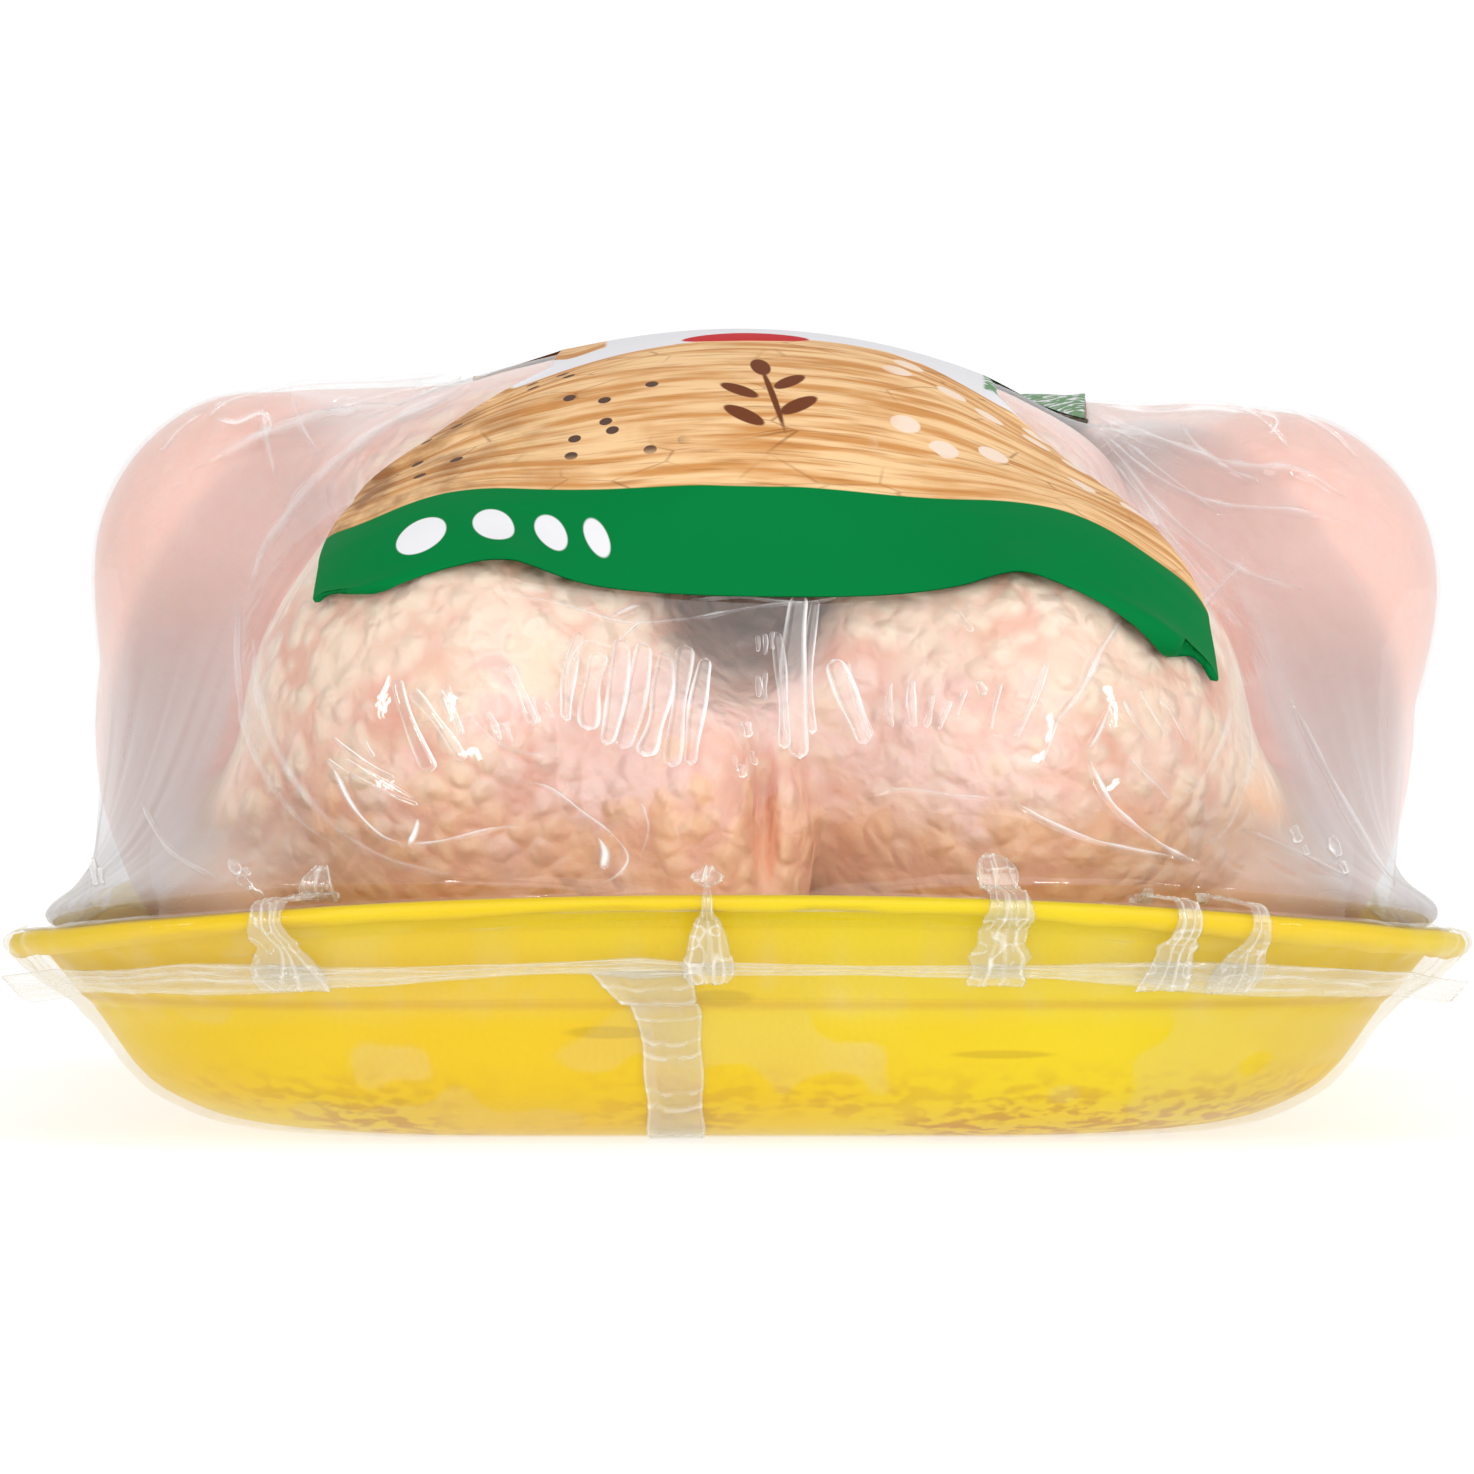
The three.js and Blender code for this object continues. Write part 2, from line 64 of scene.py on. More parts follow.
class Slot(Enum):
    """Material slots of the record."""

    FOAM = "foam"
    SKIN = "skin"
    FILM = "film"
    LABEL = "label"


class End(Enum):
    """The two ends of the pack, as the turn about its axis that each one faces."""

    FRONT = 0.0
    BACK = math.pi


# Numbers and shapes shared by all the pieces


def smooth_step(x: Array, low: float, high: float) -> Array:
    """Rises from 0 at low to 1 at high as 3t squared minus 2t cubed.

    Args:
        x: values to be eased.
        low: value that gives 0.
        high: value that gives 1. It may be below low, for a fall.

    Returns:
        The eased values, from 0 to 1.
    """
    t = np.clip((x - low) / (high - low), 0.0, 1.0)
    return t * t * (3 - 2 * t)


def lattice_random(places: Array, seed: int) -> Array:
    """Gives each whole-number place in space a fixed random number.

    Large primes, exclusive or, and two rounds of multiply and shift mix the three numbers.

    Args:
        places: whole numbers, shape (..., 3).
        seed: picks one of many fields of random numbers.

    Returns:
        Numbers from 0 to 1, shape (...).
    """
    p = places.astype(np.int64)
    h = (p[..., 0] * 73856093) ^ (p[..., 1] * 19349663) ^ (p[..., 2] * 83492791) ^ (seed * 2654435)
    h = h & 0xFFFFFFFF
    for _ in range(2):
        h = ((h ^ (h >> 15)) * 2246822519) & 0xFFFFFFFF
    h = h ^ (h >> 13)
    return (h & 0xFFFFFF) / float(0xFFFFFF)


def soft_noise(p: Array, size: float, seed: int) -> Array:
    """Smooth random field: eased blend of the random numbers at the eight corners round a point.

    Args:
        p: points, shape (..., 3).
        size: distance between the lattice's places.
        seed: picks the field.

    Returns:
        Values from -1 to 1, shape (...).
    """
    q = p / size
    base = np.floor(q)
    f = q - base
    f = f * f * (3 - 2 * f)
    total = np.zeros(p.shape[:-1])
    for corner in range(8):
        offset = np.array([corner & 1, (corner >> 1) & 1, corner >> 2])
        weight = np.prod(np.where(offset == 1, f, 1 - f), axis=-1)
        total += weight * lattice_random(base + offset, seed)
    return 2 * total - 1


def unit(v: Array) -> Array:
    """Vectors scaled to length one along the last axis."""
    return v / np.maximum(np.linalg.norm(v, axis=-1, keepdims=True), TINY)


def line_noise(gone: Array, lane: float, size: float, seed: int) -> Array:
    """Soft noise along a line: a value from -1 to 1 for each distance, in a lane of its own."""
    return soft_noise(np.stack([gone, 0 * gone + lane, 0 * gone], axis=-1), size, seed)


def travelled(path: Array) -> Array:
    """Distance gone along a path at each of its points, which are shaped (n, 2) or (n, 3)."""
    return np.concatenate([[0], np.cumsum(np.linalg.norm(np.diff(path, axis=0), axis=1))])


def between_points(path: Array, known: Array, wanted: Array) -> Array:
    """Points at wanted distances along a path, straight between its points at known distances."""
    return np.stack([np.interp(wanted, known, column) for column in path.T], axis=-1)


def crowded_turns(count: int, crowding: float) -> Array:
    """Turns about the axis, all round, that crowd towards the neck end."""
    u = np.linspace(0, FULL_TURN, count, endpoint=False)
    return u - crowding * np.sin(u)


def rounded(points: list[Pair], fineness: int) -> Array:
    """Rounds off a run of points: a curve through them, each piece a Catmull-Rom cubic.

    Args:
        points: the places on the run.
        fineness: how many finer places each piece gets.

    Returns:
        The finer places, shape (n, 2).
    """
    p = np.array(points)
    p = np.concatenate([2 * p[:1] - p[1:2], p, 2 * p[-1:] - p[-2:-1]])
    t = np.arange(fineness)[None, :, None] / fineness
    a, b, c, d = (p[k:len(p) - 3 + k, None, :] for k in range(4))
    curve = 0.5 * (2 * b + (c - a) * t + (2 * a - 5 * b + 4 * c - d) * t**2
                   + (3 * b - a - 3 * c + d) * t**3)
    return np.concatenate([curve.reshape(-1, 2), p[-2:-1]])


def grid_normals(points: Array, closed: bool) -> Array:
    """Normals of a grid: cross product of its steps along the columns and along the rows.

    Args:
        points: shape (columns, rows, 3), columns counter-clockwise and rows upwards for outside.
        closed: whether the last column is next to the first.

    Returns:
        Unit normals, same shape.
    """
    if closed:
        along = np.roll(points, -1, 0) - np.roll(points, 1, 0)
    else:
        along = np.gradient(points, axis=0)
    return unit(np.cross(along, np.gradient(points, axis=1)))


def grid_mesh(
    name: str, points: Array, closed: bool = True, low_pole: Array | None = None,
    high_pole: Array | None = None, fields: dict[str, Array] | None = None,
    flat: Array | None = None,
) -> Object:
    """Puts a grid of points into a mesh: a square between each four neighbours, fans at the poles.

    Args:
        name: the object's name.
        points: shape (columns, rows, 3), in millimetres.
        closed: whether the last column joins the first.
        low_pole: point that closes the first row.
        high_pole: point that closes the last row.
        fields: named values at the points, for the finish to read.
        flat: flattened place of each point, for a printed pattern.

    Returns:
        The object, at the origin, in metres.
    """
    columns, rows = points.shape[:2]
    i = np.arange(columns if closed else columns - 1)[:, None]
    j = np.arange(rows - 1)[None, :]
    k = (i + 1) % columns
    quads = np.stack([i * rows + j, k * rows + j, k * rows + j + 1, i * rows + j + 1], axis=-1)
    corners = [quads.reshape(-1)]
    sizes = [np.full(quads.shape[0] * quads.shape[1], 4)]
    places = [points.reshape(-1, 3)]
    around = np.arange(columns)
    after = (around + 1) % columns
    for pole, row in ((low_pole, 0), (high_pole, rows - 1)):
        if pole is None:
            continue
        tip = np.full(columns, sum(len(p) for p in places))
        near, far = around * rows + row, after * rows + row
        fan = (tip, far, near) if row == 0 else (tip, near, far)
        corners.append(np.stack(fan, axis=-1).reshape(-1))
        sizes.append(np.full(columns, 3))
        places.append(np.asarray(pole, float)[None, :])
    loops = np.concatenate(corners)
    counts = np.concatenate(sizes)
    vertices = np.concatenate(places) * MM
    mesh = bpy.data.meshes.new(name)
    mesh.vertices.add(len(vertices))
    mesh.vertices.foreach_set("co", vertices.reshape(-1).astype(np.float32))
    mesh.loops.add(len(loops))
    mesh.loops.foreach_set("vertex_index", loops.astype(np.int32))
    mesh.polygons.add(len(counts))
    starts = np.concatenate([[0], np.cumsum(counts)[:-1]])
    mesh.polygons.foreach_set("loop_start", starts.astype(np.int32))
    mesh.polygons.foreach_set("loop_total", counts.astype(np.int32))
    mesh.update(calc_edges=True)
    mesh.validate()
    mesh.polygons.foreach_set("use_smooth", np.ones(len(mesh.polygons), bool))
    for label, values in (fields or {}).items():
        full = np.concatenate([values.reshape(-1), np.full(len(vertices) - values.size, values.mean())])
        layer = mesh.attributes.new(label, "FLOAT", "POINT")
        layer.data.foreach_set("value", full.astype(np.float32))
    if flat is not None:
        layer = mesh.uv_layers.new(name="print")
        order = np.empty(len(mesh.loops), np.int32)
        mesh.loops.foreach_get("vertex_index", order)
        layer.data.foreach_set("uv", flat.reshape(-1, 2)[order].reshape(-1).astype(np.float32))
    piece = bpy.data.objects.new(name, mesh)
    bpy.context.scene.collection.objects.link(piece)
    return piece


def joined(name: str, parts: list[Object]) -> Object:
    """One object with all the parts' faces.

    Args:
        name: the joined object's name.
        parts: objects at the origin. They are used up.

    Returns:
        The joined object.
    """
    first = parts[0]
    with bpy.context.temp_override(
        active_object=first, selected_objects=parts, selected_editable_objects=parts
    ):
        bpy.ops.object.join()
    first.name = name
    first.data.name = name
    return first


# Finishes


def linear(red: int, green: int, blue: int) -> tuple[float, float, float, float]:
    """Turns a colour as seen on a screen, 0 to 255, into the shader's linear colour.

    Args:
        red: screen red.
        green: screen green.
        blue: screen blue.

    Returns:
        Linear red, green and blue from 0 to 1, and an alpha of 1.
    """
    parts = [channel / 255 for channel in (red, green, blue)]
    low = [c / 12.92 if c <= 0.04045 else ((c + 0.055) / 1.055) ** 2.4 for c in parts]
    return (*low, 1.0)


class Graph:
    """A material's node tree, with a short method for each kind of node the finishes use."""

    def __init__(self, name: str) -> None:
        """Starts an empty material of this name."""
        self.material = bpy.data.materials.new(name)
        self.material.use_nodes = True
        self.tree = self.material.node_tree
        self.tree.nodes.clear()

    def add(self, kind: str, inputs: dict | None = None, **settings: object) -> bpy.types.Node:
        """Adds a node.

        Args:
            kind: Blender's name of the node's type, without ShaderNode.
            inputs: socket name or number to a value or another node's socket.
            settings: the node's own options.

        Returns:
            The node.
        """
        node = self.tree.nodes.new("ShaderNode" + kind)
        for key, value in settings.items():
            setattr(node, key, value)
        for key, value in (inputs or {}).items():
            if isinstance(value, Socket):
                self.tree.links.new(value, node.inputs[key])
            else:
                node.inputs[key].default_value = value
        return node

    def math(self, operation: str, a: object, b: object = 0.0) -> Socket:
        """One sum of two values or sockets."""
        return self.add("Math", {0: a, 1: b}, operation=operation).outputs[0]

    def plus(self, a: object, b: object) -> Socket:
        """First value and second one together."""
        return self.math("ADD", a, b)

    def minus(self, a: object, b: object) -> Socket:
        """First value less the second."""
        return self.math("SUBTRACT", a, b)

    def times(self, a: object, b: object) -> Socket:
        """First value times the second."""
        return self.math("MULTIPLY", a, b)

    def length(self, vector: object) -> Socket:
        """Length of a vector."""
        return self.add("VectorMath", {0: vector}, operation="LENGTH").outputs["Value"]

    def ease(self, value: object, low: float, high: float) -> Socket:
        """Eased rise of a value from 0 at low to 1 at high."""
        inputs = {"Value": value, "From Min": low, "From Max": high}
        return self.add("MapRange", inputs, interpolation_type="SMOOTHSTEP").outputs[0]

    def mix(self, share: object, a: object, b: object) -> Socket:
        """Colour that goes from a to b as the share goes from 0 to 1."""
        return self.add("Mix", {0: share, 6: a, 7: b}, data_type="RGBA").outputs[2]

    def noise(self, scale: float, detail: float = 2.0, at: object = None) -> Socket:
        """Noise from 0 to 1 on the piece's own coordinates in metres, or on the given ones."""
        inputs = {"Vector": at or self.place(), "Scale": scale, "Detail": detail}
        return self.add("TexNoise", inputs).outputs["Fac"]

    def cells(self, scale: float, feature: str = "F1", at: object = None) -> Socket:
        """Distance to the nearest of strewn points on the piece's own coordinates, or the given."""
        inputs = {"Vector": at or self.place(), "Scale": scale}
        return self.add("TexVoronoi", inputs, feature=feature).outputs["Distance"]

    def pebbles(self, at: object, scale: float, softness: float) -> bpy.types.Node:
        """Soft-edged cells of strewn points: the distance to the nearest, and a colour for each."""
        inputs = {"Vector": at, "Scale": scale, "Smoothness": softness}
        return self.add("TexVoronoi", inputs, feature="SMOOTH_F1")

    def place(self) -> Socket:
        """The piece's own coordinates, in metres."""
        return self.add("TexCoord").outputs["Object"]

    def stretched(self, scale: Triple, at: object = None, turn: float = 0.0) -> Socket:
        """The piece's own coordinates, or the given, scaled for each axis and turned about Z."""
        inputs = {"Vector": at or self.place(), "Scale": scale, "Rotation": (0, 0, turn)}
        return self.add("Mapping", inputs).outputs["Vector"]

    def field(self, name: str) -> Socket:
        """A named value that the mesh carries."""
        return self.add("Attribute", attribute_name=name).outputs["Fac"]

    def bump(self, height: object, distance: float, strength: float = 1.0) -> Socket:
        """Normal bent by a height, in metres at full height."""
        inputs = {"Height": height, "Distance": distance, "Strength": strength}
        return self.add("Bump", inputs).outputs["Normal"]

    def finish(self, shader: Socket) -> bpy.types.Material:
        """Ends the tree with a shader and hands back the material."""
        self.add("OutputMaterial", {"Surface": shader})
        return self.material


@dataclass(frozen=True)
class FoamFinish:
    """Yellow expanded foam: fine cells under a satin skin, stained near the base, wet in places, with a
    painted shade line along the moulding groove.
    """

    bright: tuple = linear(233, 206, 0)
    deep: tuple = linear(232, 194, 0)
    # brown of the real stains, also used for the painted shade along the groove
    stain_and_groove_shade: tuple = linear(198, 142, 26)
    wet: tuple = linear(196, 160, 12)
    cell_scale: float = 900.0
    stain_height: float = 0.0125
    groove_height: float = 0.0183
    groove_half: float = 0.0011
    pools: tuple[tuple[float, float, float, float], ...] = (
        (-0.0165, 0.0147, 0.006, 0.0009), (-0.002, 0.0192, 0.0045, 0.0012),
        (0.034, 0.0118, 0.007, 0.0006),
    )

    def material(self) -> bpy.types.Material:
        """Builds the foam: cloudy yellow, stained specks above the base, a painted shade line along the
        moulding groove, and a few wet pools.

        A pool is an oval on the wall at the neck end, with its place across, height and half sizes.

        Returns:
            The material.
        """
        g = Graph("yellow foam")
        cloud = g.ease(g.noise(22.0, 3.0), 0.35, 0.7)
        colour = g.mix(cloud, self.deep, self.bright)
        split = g.add("SeparateXYZ", {"Vector": g.place()})
        height = split.outputs["Z"]
        low = g.ease(height, self.stain_height, 0.001)
        patchy = g.ease(g.noise(26.0, 2.0), 0.36, 0.56)
        spots = g.ease(g.noise(560.0, 3.0, g.stretched((0.6, 0.6, 1.0))), 0.44, 0.6)
        spots = g.times(g.times(spots, low), patchy)
        colour = g.mix(g.times(spots, 0.85), colour, self.stain_and_groove_shade)
        # painted shade: a darker line along the moulding groove, in the brown of the stains
        line = g.math("ABSOLUTE", g.minus(height, self.groove_height))
        colour = g.mix(g.times(g.ease(line, self.groove_half, 0.0), 0.4), colour, self.stain_and_groove_shade)
        for x, z, wide, tall in self.pools:
            place = g.add("Mapping", {
                "Vector": g.place(), "Location": (x, 0, z), "Scale": (wide, 1, tall),
            }, vector_type="TEXTURE")
            flat = g.add("VectorMath", {0: place.outputs[0], 1: (1, 0, 1)}, operation="MULTIPLY")
            near_end = g.math("LESS_THAN", split.outputs["Y"], 0.0)
            mask = g.times(g.ease(g.length(flat.outputs[0]), 1.1, 0.7), near_end)
            colour = g.mix(g.times(mask, 0.55), colour, self.wet)
        shader = g.add("BsdfPrincipled", {
            "Base Color": colour,
            "Roughness": 0.55,
            "Specular IOR Level": 0.18,
            "Normal": g.bump(g.cells(self.cell_scale), 0.00012, 0.5),
        })
        return g.finish(shader.outputs[0])


@dataclass(frozen=True)
class SkinFinish:
    """Raw poultry skin: cream fat on pink, in pebbles with darker creases, and wet, with painted shade in
    the neck hollow and a warm, partly painted shade low near the tray.
    """

    pink: tuple = linear(248, 205, 193)
    cream: tuple = linear(246, 219, 196)
    # warm orange low on the skin: partly painted shade near the tray, partly the skin's own tone
    low_shade_and_blush: tuple = linear(252, 196, 152)
    crease: tuple = linear(224, 158, 132)
    # dark brown of the painted shade in the neck hollow
    painted_hollow_shade: tuple = linear(118, 82, 66)
    mark: tuple = linear(136, 92, 60)
    pebble_scale: float = 255.0
    fine_scale: float = 520.0
    pebble_depth: float = 0.00095

    def material(self) -> bpy.types.Material:
        """Builds the skin from the values that the bird's mesh carries, pebbles and finer noise.

        A pebble is a cell of strewn points: a dome that falls off from its middle, with a crease
        where two cells meet. Each pebble has a tone of its own.

        Returns:
            The material.
        """
        g = Graph("raw skin")
        rough = g.field("rough")
        warp = g.add("TexNoise", {"Vector": g.place(), "Scale": 150.0, "Detail": 2.0})
        warp = g.add("VectorMath", {0: warp.outputs["Color"], 1: (0.5, 0.5, 0.5)}, operation="SUBTRACT")
        warp = g.add("VectorMath", {0: warp.outputs[0], "Scale": 0.0042}, operation="SCALE")
        at = g.add("VectorMath", {0: g.place(), 1: warp.outputs[0]}, operation="ADD").outputs[0]
        pebble = g.pebbles(at, self.pebble_scale, 0.35)
        fine = g.pebbles(at, self.fine_scale, 0.4)
        mottle = g.times(g.minus(g.noise(90.0, 4.0), 0.5), 0.7)
        own = g.add("SeparateColor", {"Color": pebble.outputs["Color"]}).outputs[0]
        own = g.times(g.times(g.minus(own, 0.5), 0.5), rough)
        tone = g.plus(mottle, own)
        cream = g.ease(g.plus(g.field("cream"), tone), 0.15, 0.85)
        colour = g.mix(cream, self.pink, self.cream)
        # warmer skin low near the tray and in the lower middle: partly painted shade, partly the skin's
        # own tone
        low_shade_and_blush = g.ease(g.plus(g.field("low_shade_and_blush"), tone), 0.25, 1.0)
        colour = g.mix(low_shade_and_blush, colour, self.low_shade_and_blush)
        valley = g.ease(pebble.outputs["Distance"], 0.3, 0.75)
        crease = g.times(valley, g.ease(g.noise(70.0, 2.0), 0.35, 0.65))
        colour = g.mix(g.times(g.times(crease, rough), 0.85), colour, self.crease)
        # painted shade: the neck hollow darkened
        colour = g.mix(g.field("painted_hollow_shade"), colour, self.painted_hollow_shade)
        colour = g.mix(g.field("mark"), colour, self.mark)
        dome = g.ease(pebble.outputs["Distance"], 0.7, 0.0)
        height = g.plus(dome, g.times(g.ease(fine.outputs["Distance"], 0.7, 0.0), 0.25))
        height = g.times(height, g.plus(g.times(rough, 0.93), 0.07))
        grain = g.times(g.noise(1400.0, 3.0), 0.1)
        shader = g.add("BsdfPrincipled", {
            "Base Color": colour,
            "Roughness": 0.45,
            "Subsurface Weight": 0.5,
            "Subsurface Radius": (1.0, 0.5, 0.35),
            "Subsurface Scale": 0.003,
            "Coat Weight": 0.2,
            "Coat Roughness": 0.2,
            "Normal": g.bump(g.plus(height, grain), self.pebble_depth, 1.0),
        })
        return g.finish(shader.outputs[0])


@dataclass(frozen=True)
class FilmFinish:
    """Clear shrink film: see-through, mirror-like at a slant, grey where it stands off the bird, partly
    its haze and partly painted shade of the hollows behind.
    """

    name: str = "clear film"
    milk_and_painted_light: tuple = linear(240, 239, 238)
    clear: tuple = (0.985, 0.985, 0.985, 1.0)
    # grey of the see-through share where the film stands off: haze, and painted shade of the hollows
    # behind
    smoke_and_shade: tuple = (0.83, 0.83, 0.84, 1.0)
    haze: float = 0.01
    loose_haze: float = 0.07
    streak_haze: float = 0.07
    face_gloss: float = 0.05
    slant_gloss: float = 0.5
    roughness: float = 0.06
    ripple: float = 0.00012

    def material(self) -> bpy.types.Material:
        """Builds the film: a see-through share, a white share and a mirror share. The white share is
        milky haze, and also painted highlights where the mesh marks them.

        The mirror share is the straight-on gloss plus more times the slant to the fifth.

        Returns:
            The material.
        """
        g = Graph(self.name)
        slant = g.add("LayerWeight", {"Blend": 0.5}).outputs["Facing"]
        rim = g.times(g.math("POWER", slant, 5.0), self.slant_gloss)
        gloss = g.plus(rim, self.face_gloss)
        loose = g.field("loose")
        streaks = g.ease(g.noise(26.0, 5.0, g.stretched((2.4, 2.4, 0.6))), 0.5, 0.75)
        streaks = g.times(streaks, g.plus(g.times(loose, 0.8), 0.2))
        milk_and_painted_light = g.times(loose, self.loose_haze)
        milk_and_painted_light = g.plus(milk_and_painted_light, g.times(streaks, self.streak_haze))
        milk_and_painted_light = g.plus(milk_and_painted_light, self.haze)
        # painted highlights: the mesh's field adds white on blisters and folds, and on seals and gathers
        # with crumpled film's whitening
        milk_and_painted_light = g.math("MINIMUM", g.plus(milk_and_painted_light, g.field("highlight_and_crumple")), 0.95)
        ripples = g.add("TexNoise", {
            "Vector": g.place(), "Scale": 160.0, "Detail": 3.0, "Distortion": 0.6,
        }).outputs["Fac"]
        normal = g.bump(ripples, self.ripple, 1.0)
        # the see-through share greys where the film stands off, partly painted shade of the hollows
        # behind
        clear = g.add("BsdfTransparent", {"Color": g.mix(loose, self.clear, self.smoke_and_shade)}).outputs[0]
        white = g.add("BsdfDiffuse", {"Color": self.milk_and_painted_light, "Normal": normal}).outputs[0]
        mirror = g.add("BsdfGlossy", {
            "Color": (1, 1, 1, 1), "Roughness": self.roughness, "Normal": normal,
        }).outputs[0]
        body = g.add("MixShader", {0: milk_and_painted_light, 1: clear, 2: white}).outputs[0]
        return g.finish(g.add("MixShader", {0: gloss, 1: body, 2: mirror}).outputs[0])


@dataclass(frozen=True)
class FloorFinish:
    """Plain pale studio floor, lit from below like a light table."""

    pale: tuple = (0.4, 0.4, 0.4, 1.0)
    glow: float = 0.72

    def material(self) -> bpy.types.Material:
        """Builds the floor, barely clouded.

        Returns:
            The material.
        """
        g = Graph("studio floor")
        colour = g.mix(g.noise(3.0, 1.0), self.pale, (0.39, 0.39, 0.39, 1.0))
        shader = g.add("BsdfPrincipled", {
            "Base Color": colour,
            "Roughness": 0.9,
            "Specular IOR Level": 0.0,
            "Emission Color": (1, 1, 1, 1),
            "Emission Strength": self.glow,
        })
        return g.finish(shader.outputs[0])


@dataclass(frozen=True)
class PrintFinish:
    """Satin paper with a generic print: a green band, a tan wood-like field and a pale far end.

    The print lies on the label's flattened places, in millimetres: across from the middle line,
    and along from the edge at the neck end.
    """

    green: tuple = linear(0, 119, 57)
    tan: tuple = linear(240, 200, 150)
    grain: tuple = linear(206, 146, 86)
    split: tuple = linear(132, 80, 44)
    pale: tuple = linear(228, 227, 230)
    bean: tuple = linear(240, 218, 198)
    brown: tuple = linear(112, 62, 38)
    seed: tuple = linear(92, 70, 60)
    leaf: tuple = linear(66, 132, 60)
    red: tuple = linear(196, 30, 36)
    band: float = 17.0
    far_field: float = 60.0
    edge: float = 0.12
    sprig: tuple[tuple[Pair, Pair, float], ...] = (
        ((2.0, 36.0), (0.45, 8.0), 10.0),
        ((-1.8, 31.0), (1.3, 3.4), 48.0),
        ((5.4, 34.0), (1.3, 3.4), -42.0),
        ((-2.4, 37.5), (1.2, 3.1), 50.0),
        ((4.2, 40.5), (1.2, 3.0), -38.0),
        ((0.4, 45.2), (1.3, 3.0), 8.0),
    )
    badge: tuple[Pair, Pair] = ((-1.5, 61.2), (8.5, 3.4))
    dots: tuple[Pair, ...] = ((-44.0, 3.4), (-34.5, 2.6), (-27.0, 2.0), (-21.0, 1.5))
    dots_along: float = 8.4
    dots_half_length: float = 3.4

    def oval(self, g: Graph, at: Socket, centre: Pair, radii: Pair, turn: float) -> Socket:
        """Mask of one oval: 1 where the turned and scaled distance from its centre is below one.

        Args:
            g: the material's tree.
            at: flattened place, in millimetres.
            centre: the oval's middle, across and along.
            radii: its half sizes.
            turn: its turn, in degrees.

        Returns:
            The mask, eased over a hair's breadth.
        """
        inputs = {
            "Vector": at,
            "Location": (centre[0], centre[1], 0),
            "Rotation": (0, 0, math.radians(turn)),
            "Scale": (radii[0], radii[1], 1),
        }
        node = g.add("Mapping", inputs, vector_type="TEXTURE")
        soft = self.edge / min(radii)
        return g.ease(g.length(node.outputs[0]), 1 + soft, 1 - soft)

    def strewn(self, g: Graph, at: Socket, scale: float, size: float, share: float) -> Socket:
        """Mask of round spots strewn over the print, in a share of the cells.

        Args:
            g: the material's tree.
            at: flattened place, in millimetres.
            scale: cells to a millimetre.
            size: radius of a spot, as a share of a cell.
            share: share of the cells that hold a spot.

        Returns:
            The mask.
        """
        node = g.add("TexVoronoi", {"Vector": at, "Scale": scale, "Randomness": 0.9})
        node.voronoi_dimensions = "2D"
        pick = g.add("SeparateColor", {"Color": node.outputs["Color"]}).outputs[0]
        held = g.math("LESS_THAN", pick, share)
        spot = g.ease(node.outputs["Distance"], size * 1.08, size * 0.92)
        return g.times(held, spot)

    def wood(self, g: Graph, at: Socket) -> Socket:
        """Tan field with long grain: noise stretched along the label's width, and a few splits.

        Args:
            g: the material's tree.
            at: flattened place, in millimetres.

        Returns:
            The colour.
        """
        grain = g.noise(1.0, 6.0, g.stretched((0.045, 0.5, 1), at, 0.12))
        colour = g.mix(g.ease(grain, 0.4, 0.64), self.tan, self.grain)
        lines = g.ease(g.noise(1.0, 4.0, g.stretched((0.1, 2.0, 1), at, 0.1)), 0.54, 0.68)
        colour = g.mix(g.times(lines, 0.34), colour, self.split)
        moved = g.add("VectorMath", {0: at, 1: (7.0, 3.0, 0)}).outputs[0]
        cracks = g.cells(0.16, "DISTANCE_TO_EDGE", g.stretched((0.5, 1.4, 1), moved, 0.3))
        cracks = g.times(g.ease(cracks, 0.03, 0.0), g.ease(g.noise(0.05, 2.0, at), 0.45, 0.6))
        colour = g.mix(g.times(cracks, 0.6), colour, self.split)
        knots = g.ease(g.noise(0.09, 4.0, at), 0.5, 0.74)
        colour = g.mix(g.times(knots, 0.55), colour, self.grain)
        across = g.add("SeparateXYZ", {"Vector": at}).outputs["X"]
        burnt = g.times(g.ease(across, -18.0, -52.0), g.ease(g.noise(0.16, 4.0, at), 0.36, 0.66))
        return g.mix(g.times(burnt, 0.75), colour, self.split)

    def material(self) -> bpy.types.Material:
        """Builds the printed paper.

        Returns:
            The material.
        """
        g = Graph("printed paper")
        uv = g.add("UVMap", uv_map="print").outputs["UV"]
        at = g.add("VectorMath", {0: uv, "Scale": 1000.0}, operation="SCALE").outputs[0]
        split = g.add("SeparateXYZ", {"Vector": at})
        across, along = split.outputs["X"], split.outputs["Y"]
        colour = self.wood(g, at)
        beans = self.strewn(g, at, 0.16, 0.34, 0.42)
        left = g.times(g.ease(across, 14.0, 20.0), g.ease(along, 24.0, 28.0))
        colour = g.mix(g.times(beans, left), colour, self.bean)
        seeds = self.strewn(g, at, 0.19, 0.17, 0.4)
        right = g.times(g.ease(across, -8.0, -14.0), g.ease(along, 22.0, 25.0))
        colour = g.mix(g.times(seeds, right), colour, self.seed)
        for centre, radii, turn in self.sprig:
            colour = g.mix(self.oval(g, at, centre, radii, turn), colour, self.brown)
        wave = g.times(g.math("SINE", g.times(across, 0.08)), 1.6)
        far = g.minus(along, wave)
        colour = g.mix(g.ease(far, self.far_field - 0.2, self.far_field + 0.2), colour, self.pale)
        wing = g.times(g.ease(across, -20.0, -20.6), g.ease(along, 70.0, 70.6))
        colour = g.mix(wing, colour, self.wood(g, at))
        herbs = g.times(g.ease(across, 31.0, 31.6), g.ease(along, 66.0, 66.6))
        blades = g.ease(g.noise(0.55, 2.0, at), 0.4, 0.5)
